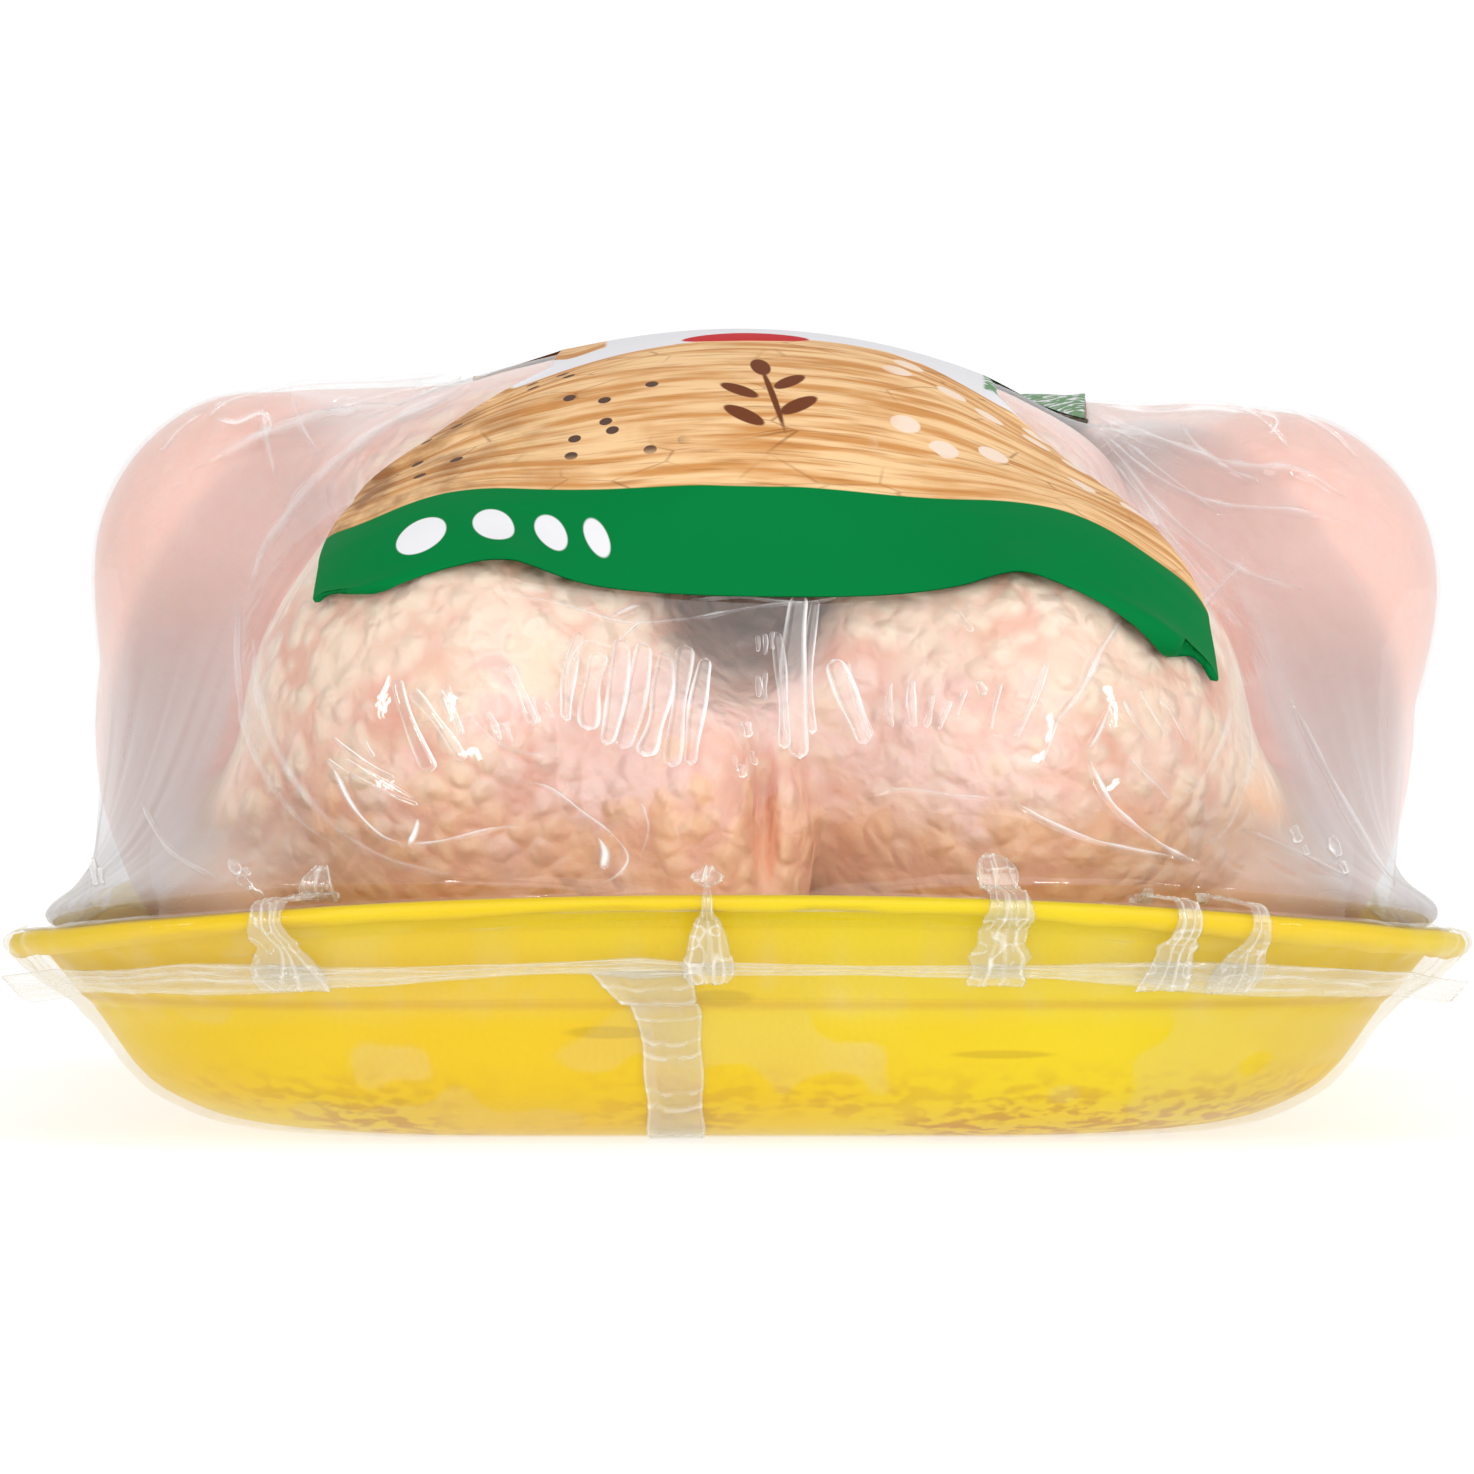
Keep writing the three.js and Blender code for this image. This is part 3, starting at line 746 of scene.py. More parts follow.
        colour = g.mix(g.times(herbs, g.times(blades, 0.85)), colour, self.leaf)
        colour = g.mix(self.oval(g, at, *self.badge, 0.0), colour, self.red)
        colour = g.mix(g.ease(along, self.band + self.edge, self.band - self.edge), colour, self.green)
        for place, wide in self.dots:
            mask = self.oval(g, at, (place, self.dots_along), (wide, self.dots_half_length), 18.0)
            colour = g.mix(mask, colour, self.pale)
        fibre = g.noise(1600.0, 3.0)
        shader = g.add("BsdfPrincipled", {
            "Base Color": colour,
            "Roughness": 0.55,
            "Specular IOR Level": 0.04,
            "Normal": g.bump(fibre, 0.00003, 0.6),
        })
        return g.finish(shader.outputs[0])


# Tray


@dataclass
class Tray:
    """Hollow foam tray with a rolled lip, bent by the film: rounded-rectangle rings up a section."""

    half_width: float = 96.5
    half_length: float = 131.0
    corner: float = 46.0
    rim_height: float = 27.8
    rim_top: float = 28.3
    end_lift: float = 4.2
    side_sag: float = 3.4
    end_pull: float = 1.5
    side_pull: float = 4.5
    lift_half_width: float = 88.0
    lift_half_length: float = 120.0
    pull_half_width: float = 80.0
    pull_half_length: float = 105.0
    lift_power: float = 2.2
    lip_share: float = 0.96
    lip_flattening: float = 0.62
    base_corner_share: float = 0.5
    corner_fit: float = 0.98
    floor: float = 3.3
    around: int = 600
    fineness: int = 4
    outside: list[Pair] = field(default_factory=lambda: [
        (0.6, 0.12), (0.66, 0.9), (0.72, 2.4), (0.785, 5.6), (0.82, 8.7), (0.845, 12.0),
        (0.868, 15.4), (0.884, 17.3), (0.893, 18.0), (0.925, 22.2), (0.952, 25.2),
        (0.976, 24.7), (0.995, 25.3), (1.0, 26.5), (0.995, 27.8),
    ])
    inside: list[Pair] = field(default_factory=lambda: [
        (0.972, 28.3), (0.945, 27.9), (0.908, 25.2), (0.862, 19.4), (0.815, 13.6),
        (0.775, 8.8), (0.7, 5.3), (0.66, 4.0), (0.6, 3.3),
    ])

    def edge_reach(self, heading: Array, half_width: Array, half_length: Array, radius: Array) -> Array:
        """Distance from the middle of a rounded rectangle to its edge, along plan directions.

        The nearer straight side counts, or in the corner the far crossing of its circle.

        Args:
            heading: unit plan directions, shape (..., 2).
            half_width: half width of the rectangle.
            half_length: half length.
            radius: corner radius.

        Returns:
            The distances.
        """
        ax, ay = np.abs(heading[..., 0]), np.abs(heading[..., 1])
        straight = np.minimum(half_width / np.maximum(ax, TINY), half_length / np.maximum(ay, TINY))
        cx, cy = half_width - radius, half_length - radius
        along = ax * cx + ay * cy
        inner = along * along - cx * cx - cy * cy + radius * radius
        bend = along + np.sqrt(np.maximum(inner, 0))
        return np.where((straight * ax > cx) & (straight * ay > cy), bend, straight)

    def heading(self, turn: Array) -> Array:
        """Unit plan direction of a turn about the axis, from the neck end counter-clockwise."""
        way = np.stack([np.sin(turn) * self.half_width, -np.cos(turn) * self.half_length], axis=-1)
        return unit(way)

    def lift(self, x: Array, y: Array) -> Array:
        """Rise of the rim: a hump over each end and a sag along each side, none at the corners.

        Args:
            x: place across, on the rim.
            y: place along, on the rim.

        Returns:
            The rise in millimetres.
        """
        end = np.clip(1 - (np.abs(x) / self.lift_half_width) ** self.lift_power, 0, None)
        side = np.clip(1 - (np.abs(y) / self.lift_half_length) ** self.lift_power, 0, None)
        hump = self.end_lift * end * (y / self.half_length) ** 2
        return hump - self.side_sag * side * (x / self.half_width) ** 2

    def point(self, turn: Array, share: Array | float, height: Array | float) -> Array:
        """Points of the tray: the rim's outline drawn in to a share, at a height, bent with the rim.

        The bend grows with the square of the height. Where the rim rises, the lip hangs less.

        Args:
            turn: turn about the axis.
            share: share of the rim's half width.
            height: height before the rim's bend.

        Returns:
            Points in millimetres, shape (..., 3).
        """
        inset = self.half_width * (1 - share)
        half_width = self.half_width - inset
        half_length = self.half_length - inset
        radius = np.minimum(
            self.corner * np.maximum(share, self.base_corner_share), self.corner_fit * half_width
        )
        way = self.heading(turn)
        reach = self.edge_reach(way, half_width, half_length, radius)
        x, y = way[..., 0] * reach, way[..., 1] * reach
        rim_x, rim_y = x * self.half_width / half_width, y * self.half_length / half_length
        lift = self.lift(rim_x, rim_y)
        level = self.rim_top - (self.rim_top - height) * (1 - self.lip_flattening * lift / self.end_lift)
        height = np.where((share > self.lip_share) & (lift > 0), level, height)
        bend = (height / self.rim_height) ** 2
        end = np.clip(1 - (rim_x / self.pull_half_width) ** 2, 0, None)
        side = np.clip(1 - (rim_y / self.pull_half_length) ** 2, 0, None)
        x = x * (1 - bend * side * self.side_pull / self.half_width)
        y = y * (1 - bend * end * self.end_pull / self.half_length)
        return np.stack([x, y, height + bend * lift], axis=-1)

    def chord(self, turn: Array, half: float, station: Pair) -> Array:
        """Step along a ring of the tray, from a little before each turn to as much after it."""
        return self.point(turn + half, *station) - self.point(turn - half, *station)

    def turn_at(self, x: Array, end: End, share: Array | float, height: Array | float) -> Array:
        """Turns at which rings of the tray cross places over one end, by repeated correction.

        Args:
            x: places across.
            end: which end.
            share: the rings' shares of the rim's half width.
            height: their heights.

        Returns:
            The turns about the axis.
        """
        turn = np.full(np.shape(x), end.value)
        for _ in range(8):
            here = self.point(turn, share, height)
            turn = turn + (x - here[..., 0]) / np.abs(here[..., 1]) * math.cos(end.value)
        return turn

    def wall(self, turn: Array, share: Array, height: Array) -> Array:
        """Points of the tray with the foam's small dents: the lip's lower edge waves with noise.

        Args:
            turn: turn about the axis.
            share: share of the rim's half width.
            height: height before the bend.

        Returns:
            Points in millimetres.
        """
        p = self.point(turn, share, height)
        along = np.stack([p[..., 0], p[..., 1], np.zeros_like(share * turn)], axis=-1)
        lip = smooth_step(share, 0.955, 0.985) * smooth_step(height, 26.9, 24.6)
        p[..., 2] += lip * (0.5 * soft_noise(along, 17.0, 3) + 0.35 * soft_noise(along, 5.0, 4))
        groove = np.exp(-(((height - 17.9) / 0.8) ** 2)) * (share > 0.84)
        p[..., :2] *= (1 + 0.0016 * soft_noise(p, 24.0, 5) - 0.006 * groove)[..., None]
        return p

    def build(self) -> Object:
        """Makes the tray in the place of its plain solid.

        Returns:
            The dressed tray.
        """
        section = np.concatenate([rounded(side, self.fineness) for side in (self.outside, self.inside)])
        turn = np.linspace(0, FULL_TURN, self.around, endpoint=False)[:, None]
        points = self.wall(turn, section[None, :, 0], section[None, :, 1])
        piece = grid_mesh(
            "foam_tray", points, low_pole=np.array([0, 0, 0.12]), high_pole=np.array([0, 0, self.floor])
        )
        piece.data.materials.append(FoamFinish().material())
        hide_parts("tray")
        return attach(piece, ROOT)


# Bird


@dataclass(frozen=True)
class Lobe:
    """An ellipsoid, or a tapered rod where it has a far end, blended into those before it."""

    centre: Triple
    radii: tuple[float, ...]
    blend: float
    far: Triple | None = None

    def distance(self, p: Array) -> Array:
        """Signed distance from the lobe's surface.

        For an ellipsoid it is k (k - 1) / m, where k is the length of p over the radii and m that
        of p over the radii squared. For a rod it is the distance to its axis less its radius.

        Args:
            p: points, shape (n, 3).

        Returns:
            The distances.
        """
        q = p - np.array(self.centre)
        if self.far is None:
            r = np.array(self.radii)
            k = np.linalg.norm(q / r, axis=-1)
            return k * (k - 1) / np.maximum(np.linalg.norm(q / (r * r), axis=-1), TINY)
        axis = np.array(self.far) - np.array(self.centre)
        t = np.clip(q @ axis / (axis @ axis), 0, 1)
        thick = self.radii[0] + (self.radii[1] - self.radii[0]) * t
        return np.linalg.norm(q - t[..., None] * axis, axis=-1) - thick


@dataclass
class Bird:
    """The raw chicken: lobes joined smoothly, with hollows at the neck and vent, and pimpled skin."""

    centre: Triple = (0.0, 0.0, 50.0)
    squash: Triple = (85.0, 110.0, 55.0)
    columns: int = 470
    rows: int = 210
    crowding: float = 0.62
    reach: float = 190.0
    steps: int = 70
    stride: float = 0.9
    near_enough: float = 0.02
    hollow_middle: Triple = (1.5, -97.0, 71.0)
    hollow_radii: Triple = (13.0, 16.0, 13.0)
    spots: tuple[Triple, ...] = (
        (-89, -10, 86), (-90.5, -12, 84), (-92, -8, 70), (-91.5, -6, 73), (91, -18, 47),
    )
    lobes: dict[str, Lobe] = field(default_factory=lambda: {
        "carcass": Lobe((0, 8, 46), (60, 100, 42), 0),
        "breast": Lobe((1, -40, 59.5), (60, 62, 46), 10),
        "breast crown": Lobe((-3.5, -30, 83.5), (56, 46, 20), 5),
        "left shoulder": Lobe((-33, -70, 49), (33, 40, 39), 7),
        "right shoulder": Lobe((36, -70, 48), (33, 40, 38), 7),
        "belly": Lobe((1, 42, 62), (50, 58, 36), 14),
        "left thigh": Lobe((-62, 14, 52), (28.5, 42, 40), 7),
        "right thigh": Lobe((68, 14, 52.5), (27.5, 42, 40), 7),
        "left leg": Lobe((-65.3, -6, 74.8), (24, 12), 9, (-28, 94, 90)),
        "right leg": Lobe((73, -6, 71.7), (24.5, 12), 9, (31, 96, 88)),
        "left hock": Lobe((-25, 100, 90), (13, 12, 12.5), 3),
        "right hock": Lobe((28, 102, 87), (13, 12, 12.5), 3),
        "left wing": Lobe((-54, -76, 38), (16, 13), 5, (-67, -22, 34)),
        "right wing": Lobe((57, -76, 38), (16, 13), 5, (71, -22, 34)),
        "left wing tip": Lobe((-68, -22, 33), (12, 9), 4, (-67, -84, 27)),
        "right wing tip": Lobe((72, -22, 33), (12, 9), 4, (71, -84, 27)),
        "neck skin": Lobe((-5, -100, 38), (15, 12, 24), 4),
        "tail": Lobe((0, 108, 38), (17, 16, 13), 6),
    })
    hollows: dict[str, Lobe] = field(default_factory=lambda: {
        "neck hollow": Lobe((1.5, -114, 72), (13, 26, 17), 5),
        "neck crease": Lobe((3.5, -115, 46), (2.2, 12, 16), 3),
        "vent": Lobe((1, 108, 62), (20, 26, 15), 6),
    })

    def outline(self, p: Array) -> Array:
        """Signed distance of the bird without its hollows: the lobes' smooth union.

        Each lobe b joins the body a by the blend of a and b less k h (1 - h), where h goes from
        0 to 1 as a passes b over the blend's width k.

        Args:
            p: points, shape (n, 3).

        Returns:
            The distances.
        """
        body = None
        for lobe in self.lobes.values():
            own = lobe.distance(p)
            if body is None:
                body = own
                continue
            h = np.clip(0.5 + 0.5 * (own - body) / lobe.blend, 0, 1)
            body = own * (1 - h) + body * h - lobe.blend * h * (1 - h)
        return body

    def distance(self, p: Array) -> Array:
        """Signed distance of the bird with its hollows cut smoothly out.

        Args:
            p: points, shape (n, 3).

        Returns:
            The distances.
        """
        body = self.outline(p)
        for hollow in self.hollows.values():
            own, out = hollow.distance(p), -body
            h = np.clip(0.5 + 0.5 * (own - out) / hollow.blend, 0, 1)
            body = -(own * (1 - h) + out * h - hollow.blend * h * (1 - h))
        return body

    def march(self, origin: Array, ways: Array, gap: float) -> Array:
        """Outermost reach of the bird along rays: steps inwards by the distance still to go.

        Args:
            origin: where the rays start from.
            ways: unit directions, shape (..., 3).
            gap: how far off the bird the steps stop.

        Returns:
            The reach along each ray, shape (...), 0 where it misses.
        """
        rays = ways.reshape(-1, 3)
        reach = np.full(len(rays), self.reach)
        for _ in range(self.steps):
            clear = self.distance(origin + rays * reach[:, None]) - gap
            if np.abs(clear).max() < self.near_enough:
                break
            reach = np.maximum(reach - self.stride * clear, 0)
        return reach.reshape(ways.shape[:-1])

    def grid(self) -> tuple[Array, Array]:
        """Rays from the bird's middle, crowded towards the neck end, and the reach along each.

        Returns:
            Directions, shape (columns, rows, 3), and reaches, shape (columns, rows).
        """
        turn = crowded_turns(self.columns, self.crowding)[:, None]
        rise = (np.linspace(-1, 1, self.rows + 2)[1:-1] * math.pi / 2)[None, :]
        flat = np.cos(rise)
        ways = np.stack([
            np.sin(turn) * flat * self.squash[0],
            -np.cos(turn) * flat * self.squash[1],
            np.sin(rise) * self.squash[2] + 0 * turn,
        ], axis=-1)
        ways = unit(ways)
        return ways, self.march(np.array(self.centre), ways, 0.0)

    def pimpled(self, p: Array) -> Array:
        """How pimpled the skin is: most over the shoulders and neck, little on thighs and knees.

        Args:
            p: points, shape (..., 3).

        Returns:
            Values from 0 to 1.
        """
        x, y, z = p[..., 0], p[..., 1], p[..., 2]
        front = smooth_step(y, -30.0, -66.0)
        side = smooth_step(np.abs(x - 1.5), 74.0, 60.0)
        wings = smooth_step(z, 30.0, 44.0)
        patchy = 0.85 + 0.3 * soft_noise(p, 16.0, 21)
        return np.clip((0.16 + 0.84 * front * side * (0.45 + 0.55 * wings)) * patchy, 0, 1)

    def lumps(self, p: Array) -> Array:
        """Depth of the skin's relief below the bird's lobes: lumps of two sizes, each soft noise.

        Args:
            p: points, shape (..., 3).

        Returns:
            Depth in millimetres.
        """
        rough = self.pimpled(p)
        broad = 0.5 - 0.5 * soft_noise(p, 11.0, 12)
        small = 0.5 - 0.5 * soft_noise(p, 4.6, 13)
        return (0.3 + 0.7 * rough) * broad + 0.75 * rough * small

    def tones(self, p: Array) -> dict[str, Array]:
        """Colour values of the skin, each a smooth field of place with noise. The neck hollow's value is
        painted shade, and the low warm value is partly painted shade near the tray.

        Args:
            p: points, shape (..., 3).

        Returns:
            The named values, from 0 to 1.
        """
        x, y, z = p[..., 0], p[..., 1], p[..., 2]
        cloud = soft_noise(p, 22.0, 40) + 0.5 * soft_noise(p, 9.0, 41)
        front = smooth_step(y, -40.0, -80.0)
        high = smooth_step(z, 48.0, 84.0)
        outer = smooth_step(np.abs(x - 1.5), 26.0, 58.0)
        cream = front * np.clip(0.15 + 0.75 * high + 0.45 * outer, 0, 1) + 0.16 * cloud
        knees = smooth_step(np.abs(x - 2), 52.0, 72.0) * smooth_step(y, -60.0, -35.0)
        cream = np.clip(cream * (1 - knees) + 0.12 + 0.22 * cloud * knees, 0, 1)
        # warmer skin low near the tray and in the lower middle: partly painted shade, partly the skin's
        # own tone
        low = smooth_step(z, 52.0, 34.0)
        centre = smooth_step(np.abs(x + 3), 26.0, 8.0)
        low_shade_and_blush = front * np.clip(0.8 * low + 0.35 * centre * smooth_step(z, 66.0, 50.0), 0, 1)
        low_shade_and_blush = np.clip(low_shade_and_blush + 0.22 * cloud * front, 0, 1)
        # painted shade darkening the neck hollow
        hollow = (p - np.array(self.hollow_middle)) / np.array(self.hollow_radii)
        painted_hollow_shade = 0.8 * smooth_step(np.linalg.norm(hollow, axis=-1), 1.25, 0.6)
        spots = np.zeros_like(x)
        for spot in self.spots:
            spots = np.maximum(spots, smooth_step(np.linalg.norm(p - np.array(spot), axis=-1), 1.6, 0.5))
        rough = self.pimpled(p)
        return {"cream": cream, "low_shade_and_blush": low_shade_and_blush, "rough": rough, "painted_hollow_shade": painted_hollow_shade, "mark": 0.8 * spots}

    def build(self) -> Object:
        """Makes the pimpled bird.

        Returns:
            The dressed bird.
        """
        ways, reach = self.grid()
        centre = np.array(self.centre)
        smooth = centre + ways * reach[..., None]
        points = centre + ways * (reach - self.lumps(smooth))[..., None]
        poles = [points[:, row].mean(0) for row in (0, -1)]
        piece = grid_mesh(
            "bird", points, low_pole=poles[0], high_pole=poles[1], fields=self.tones(points)
        )
        piece.data.materials.append(SkinFinish().material())
        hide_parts("wrapped_chicken")
        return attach(piece, ROOT)


# Film


@dataclass
class Film:
    """The stretched film: a skin on the tray's rim and over the bird, with blisters and folds."""

    tray: Tray
    bird: Bird
    centre: Triple = (0.0, 0.0, 18.0)
    squash: float = 0.85
    columns: int = 680
    rows: int = 144
    crowding: float = 0.6
    row_power: float = 1.5
    coarse: tuple[int, int] = (120, 48)
    coarse_steps: int = 500
    fine_steps: int = 60
    hoop: float = 2.0
    slack: float = 60.0
    gap: float = 0.3
    edge: Pair = (0.985, 28.5)
    eye: Triple = (0.0, -1399.8, 74.9)
    sheet: float = -105.0
    flare: float = 9.0
    flare_height: float = 2.5
    flare_power: float = 2.0
    overhead: float = 118.0
    stand_back: float = 150.0
    landing_step: float = 2.0
    landing_steps: int = 64
    landing_halvings: int = 12

    def fan(self, columns: int, rows: int, crowding: float) -> tuple[Array, Array, Array]:
        """Rays from the tray's middle: from the film's edge on the rim up to straight overhead.

        Args:
            columns: rays round the pack.
            rows: rays from the rim to the top.
            crowding: how much they crowd towards the neck end.

        Returns:
            Turns, the edge's distances, and unit directions of shape (columns, rows, 3).
        """
        turn = crowded_turns(columns, crowding)
        edge = self.tray.point(turn, *self.edge) - np.array(self.centre)
        flat = np.linalg.norm(edge[:, :2], axis=1)
        low = np.arctan2(edge[:, 2], flat)[:, None]
        share = np.linspace(0, 1, rows)[None, :] ** self.row_power
        rise = low + (math.pi / 2 - low) * share
        plan = edge[:, None, :2] / flat[:, None, None] * np.cos(rise)[..., None]
        ways = unit(np.concatenate([plan, np.sin(rise)[..., None] * self.squash], axis=-1))
        ways[:, 0] = unit(edge)
        return turn, np.linalg.norm(edge, axis=1), ways

    def tighten(self, reach: Array, ways: Array, floor: Array, edge: Array, steps: int) -> Array:
        """Stretches the film: each point goes to the chords between its neighbours.

        A chord is weighted by one over the product of its two lengths, and the one round the pack
        by the hoop tension too. No point goes below the bird.

        Args:
            reach: distances along the rays, shape (columns, rows).
            ways: the rays' directions.
            floor: least distances.
            edge: the fixed distances of the first row.
            steps: how often all points move.

        Returns:
            The new distances.
        """
        for _ in range(steps):
            p = ways * reach[..., None]
            here = p[:, 1:-1]
            pulls = []
            for a, b in ((p[:, :-2], p[:, 2:]), (np.roll(p, 1, 0)[:, 1:-1], np.roll(p, -1, 0)[:, 1:-1])):
                to_a = np.linalg.norm(a - here, axis=-1) + TINY
                to_b = np.linalg.norm(b - here, axis=-1) + TINY
                cross = (a * to_b[..., None] + b * to_a[..., None]) / (to_a + to_b)[..., None]
                pulls.append(((cross * ways[:, 1:-1]).sum(-1), 1 / (to_a * to_b)))
            (over, over_weight), (ring, ring_weight) = pulls
            ring_weight = ring_weight * self.hoop
            moved = (over * over_weight + ring * ring_weight) / (over_weight + ring_weight)
            reach[:, 1:-1] = np.maximum(floor[:, 1:-1], moved)
            reach[:, 0] = edge
            reach[:, -1] = np.maximum(floor[:, -1].max(), reach[:, -2].mean())
        return reach

    def solve(self) -> None:
        """Finds the film: tightened on a coarse fan, then carried to the fine fan and eased there."""
        origin = np.array(self.centre)
        _, edge, ways = self.fan(*self.coarse, 0.0)
        floor = self.bird.march(origin, ways, self.gap)
        reach = np.maximum(floor, self.slack)
        reach[:, 0] = edge
        reach = self.tighten(reach, ways, floor, edge, self.coarse_steps)
        self.turn, edge, self.ways = self.fan(self.columns, self.rows, self.crowding)
        column = (self.turn / FULL_TURN * self.coarse[0]) % self.coarse[0]
        row = np.linspace(0, self.coarse[1] - 1, self.rows)
        guess = self.between(reach, column[:, None] + 0 * row, row + 0 * column[:, None])
        self.floor = self.bird.march(origin, self.ways, self.gap)
        guess = np.maximum(guess, self.floor)
        guess[:, 0] = edge
        reach = self.tighten(guess, self.ways, self.floor, edge, self.fine_steps)
        self.reach = reach + self.flared(reach)

    def flared(self, reach: Array) -> Array:
        """How far the film stands out over the tray's corners, along its rays.

        The push goes with a power of the sine of twice the turn, and with h e^(1-h), where h is
        the height above the rim over the flare's height. It ends above the rim's edge.

        Args:
            reach: the film's distances before.

        Returns:
            The push in millimetres, same shape.
        """
        height = self.ways[..., 2] * reach
        h = np.maximum(height - height[:, :1], 0) / self.flare_height
        corner = np.abs(np.sin(2 * self.turn))[:, None] ** self.flare_power
        flat = np.linalg.norm(self.ways[..., :2], axis=-1)
        room = np.maximum(0, (flat[:, :1] * reach[:, :1] - flat * reach) / np.maximum(flat, 0.1))
        return np.minimum(self.flare * corner * h * np.exp(1 - h), room)

    @staticmethod
    def between(values: Array, column: Array, row: Array) -> Array:
        """Values between a grid's points, straight between the four nearest, closed round.

        Args:
            values: shape (columns, rows).
            column: fractional column numbers.
            row: fractional row numbers.

        Returns:
            The values there.
        """
        columns, rows = values.shape
        i = np.floor(column).astype(int)
        j = np.clip(np.floor(row).astype(int), 0, rows - 2)
        s, t = column - i, row - j
        a, b = i % columns, (i + 1) % columns
        low = values[a, j] * (1 - s) + values[b, j] * s
        high = values[a, j + 1] * (1 - s) + values[b, j + 1] * s
        return low * (1 - t) + high * t

    def reach_along(self, ways: Array) -> Array:
        """The film's distance from its centre along any directions.

        A direction's column comes from its plan angle among the fan's, and its row from its rise.

        Args:
            ways: unit directions, shape (..., 3).

        Returns:
            The distances.
        """
        plan = self.ways[:, self.rows // 2]
        angle = np.unwrap(np.arctan2(plan[:, 0], -plan[:, 1]))
        angle = np.concatenate([angle, [angle[0] + FULL_TURN]])
        want = (np.arctan2(ways[..., 0], -ways[..., 1]) - angle[0]) % FULL_TURN + angle[0]
        column = np.interp(want, angle, np.arange(self.columns + 1))
        edge = self.ways[:, 0]
        lows = np.arctan2(edge[:, 2], np.linalg.norm(edge[:, :2], axis=1))
        low = np.interp(column, np.arange(self.columns + 1), np.append(lows, lows[0]))
        flat = np.linalg.norm(ways[..., :2], axis=-1)
        rise = np.arctan2(ways[..., 2] / self.squash, flat)
        share = np.clip((rise - low) / (math.pi / 2 - low), 0, 1) ** (1 / self.row_power)
        return self.between(self.reach, column, share * (self.rows - 1))

    def landing(self, start: Array, way: Array) -> Array:
        """Where lines from outside first meet the film: even steps, then halving of the last one.

        Args:
            start: where the lines start, shape (..., 3).
            way: their unit directions, shape (..., 3) or (3,).

        Returns:
            The meeting points, shape (..., 3).
        """
        origin = np.array(self.centre)

        def outside(gone: Array) -> Array:
            """Whether the points this far along the lines are outside the film."""
            q = start + way * gone[..., None] - origin
            length = np.linalg.norm(q, axis=-1)
            return length > self.reach_along(q / length[..., None])

        gone = np.zeros(start.shape[:-1])
        for _ in range(self.landing_steps):
            gone = np.where(outside(gone), gone + self.landing_step, gone)
        low, high = gone - self.landing_step, gone
        for _ in range(self.landing_halvings):
            middle = (low + high) / 2
            out = outside(middle)
            low, high = np.where(out, middle, low), np.where(out, high, middle)
        return start + way * high[..., None]

    def height_over(self, x: Array, y: Array) -> Array:
        """Height of the film over places in plan."""
        start = np.stack([x, y, np.full(x.shape, self.overhead)], axis=-1)
        return self.landing(start, np.array([0.0, 0.0, -1.0]))[..., 2]

    def seen_at(self, x: Array, z: Array) -> Array:
        """Places on the film that the photographer sees at places on an upright sheet.

        Args:
            x: places across on the sheet, which stands through the neck end.
            z: heights on the sheet.

        Returns:
            Points on the film, shape (..., 3).
        """
        sheet = np.stack([x, np.full(x.shape, self.sheet), z], axis=-1)
        way = unit(sheet - np.array(self.eye))
        start = sheet - way * (self.sheet + self.stand_back) / way[..., 1:2]
        return self.landing(start, way)

    def patch(self, name: str, seen: tuple[Array, Array], rise: Array, highlight_and_crumple: Array) -> Object:
        """A small patch of film raised off the upper film, laid out as the photographer sees it.

        Args:
            name: the patch's name.
            seen: places across and heights on the upright sheet, shape (columns, rows).
            rise: height over the film at each of them.
            highlight_and_crumple: how white the film is painted there, as a highlight.

        Returns:
            The patch, undressed, with its faces outwards.
        """
        points = self.seen_at(*seen)
        normals = grid_normals(points, closed=False)
        normals = normals * np.sign(-normals[..., 1:2])
        grid = points + normals * rise[..., None]
        if grid_normals(grid, closed=False)[..., 1].mean() > 0:
            grid, highlight_and_crumple = grid[::-1], highlight_and_crumple[::-1]
        return grid_mesh(name, grid, closed=False, fields={"loose": 0 * highlight_and_crumple, "highlight_and_crumple": highlight_and_crumple})

    def pull_lines(self, p: Array, turn: Array) -> Array:
        """Long soft creases that climb from the rim: noise that is fine round and long upwards.

        Args:
            p: points of the film.
            turn: turn of each column.

        Returns:
            Height in millimetres, most in the loose film near the rim.
        """
        low = smooth_step(p[..., 2], 78.0, 34.0)
        place = np.stack([
            np.sin(turn)[:, None] * 100 + 0 * p[..., 2],
            np.cos(turn)[:, None] * 130 + 0 * p[..., 2],
            p[..., 2] * 0.12,
        ], axis=-1)
        broad = soft_noise(place, 9.0, 60)
        fine = soft_noise(place, 3.2, 61)
        return low * (0.5 * broad + 0.22 * fine)

    def looseness(self, p: Array, off: Array) -> Array:
        """How grey and hazy the film looks, partly painted shade of the hollows behind: most where it
        stands off the bird at the sides, low and on top.

        Args:
            p: points of the film, shape (columns, rows, 3).
            off: how far it stands off the bird there.

        Returns:
            Values from 0 to 1.
        """
        x, y, z = p[..., 0], p[..., 1], p[..., 2]
        side = np.maximum(smooth_step(np.abs(x - 2), 52.0, 76.0), smooth_step(y, -92.0, -50.0))
        high = np.maximum(0.4 + 0.6 * smooth_step(z, 76.0, 52.0), smooth_step(z, 88.0, 96.0))
        far = 1 - 0.5 * smooth_step(y, 15.0, 55.0)
        return smooth_step(off, 0.3, 4.0) * (0.1 + 0.9 * side) * high * far

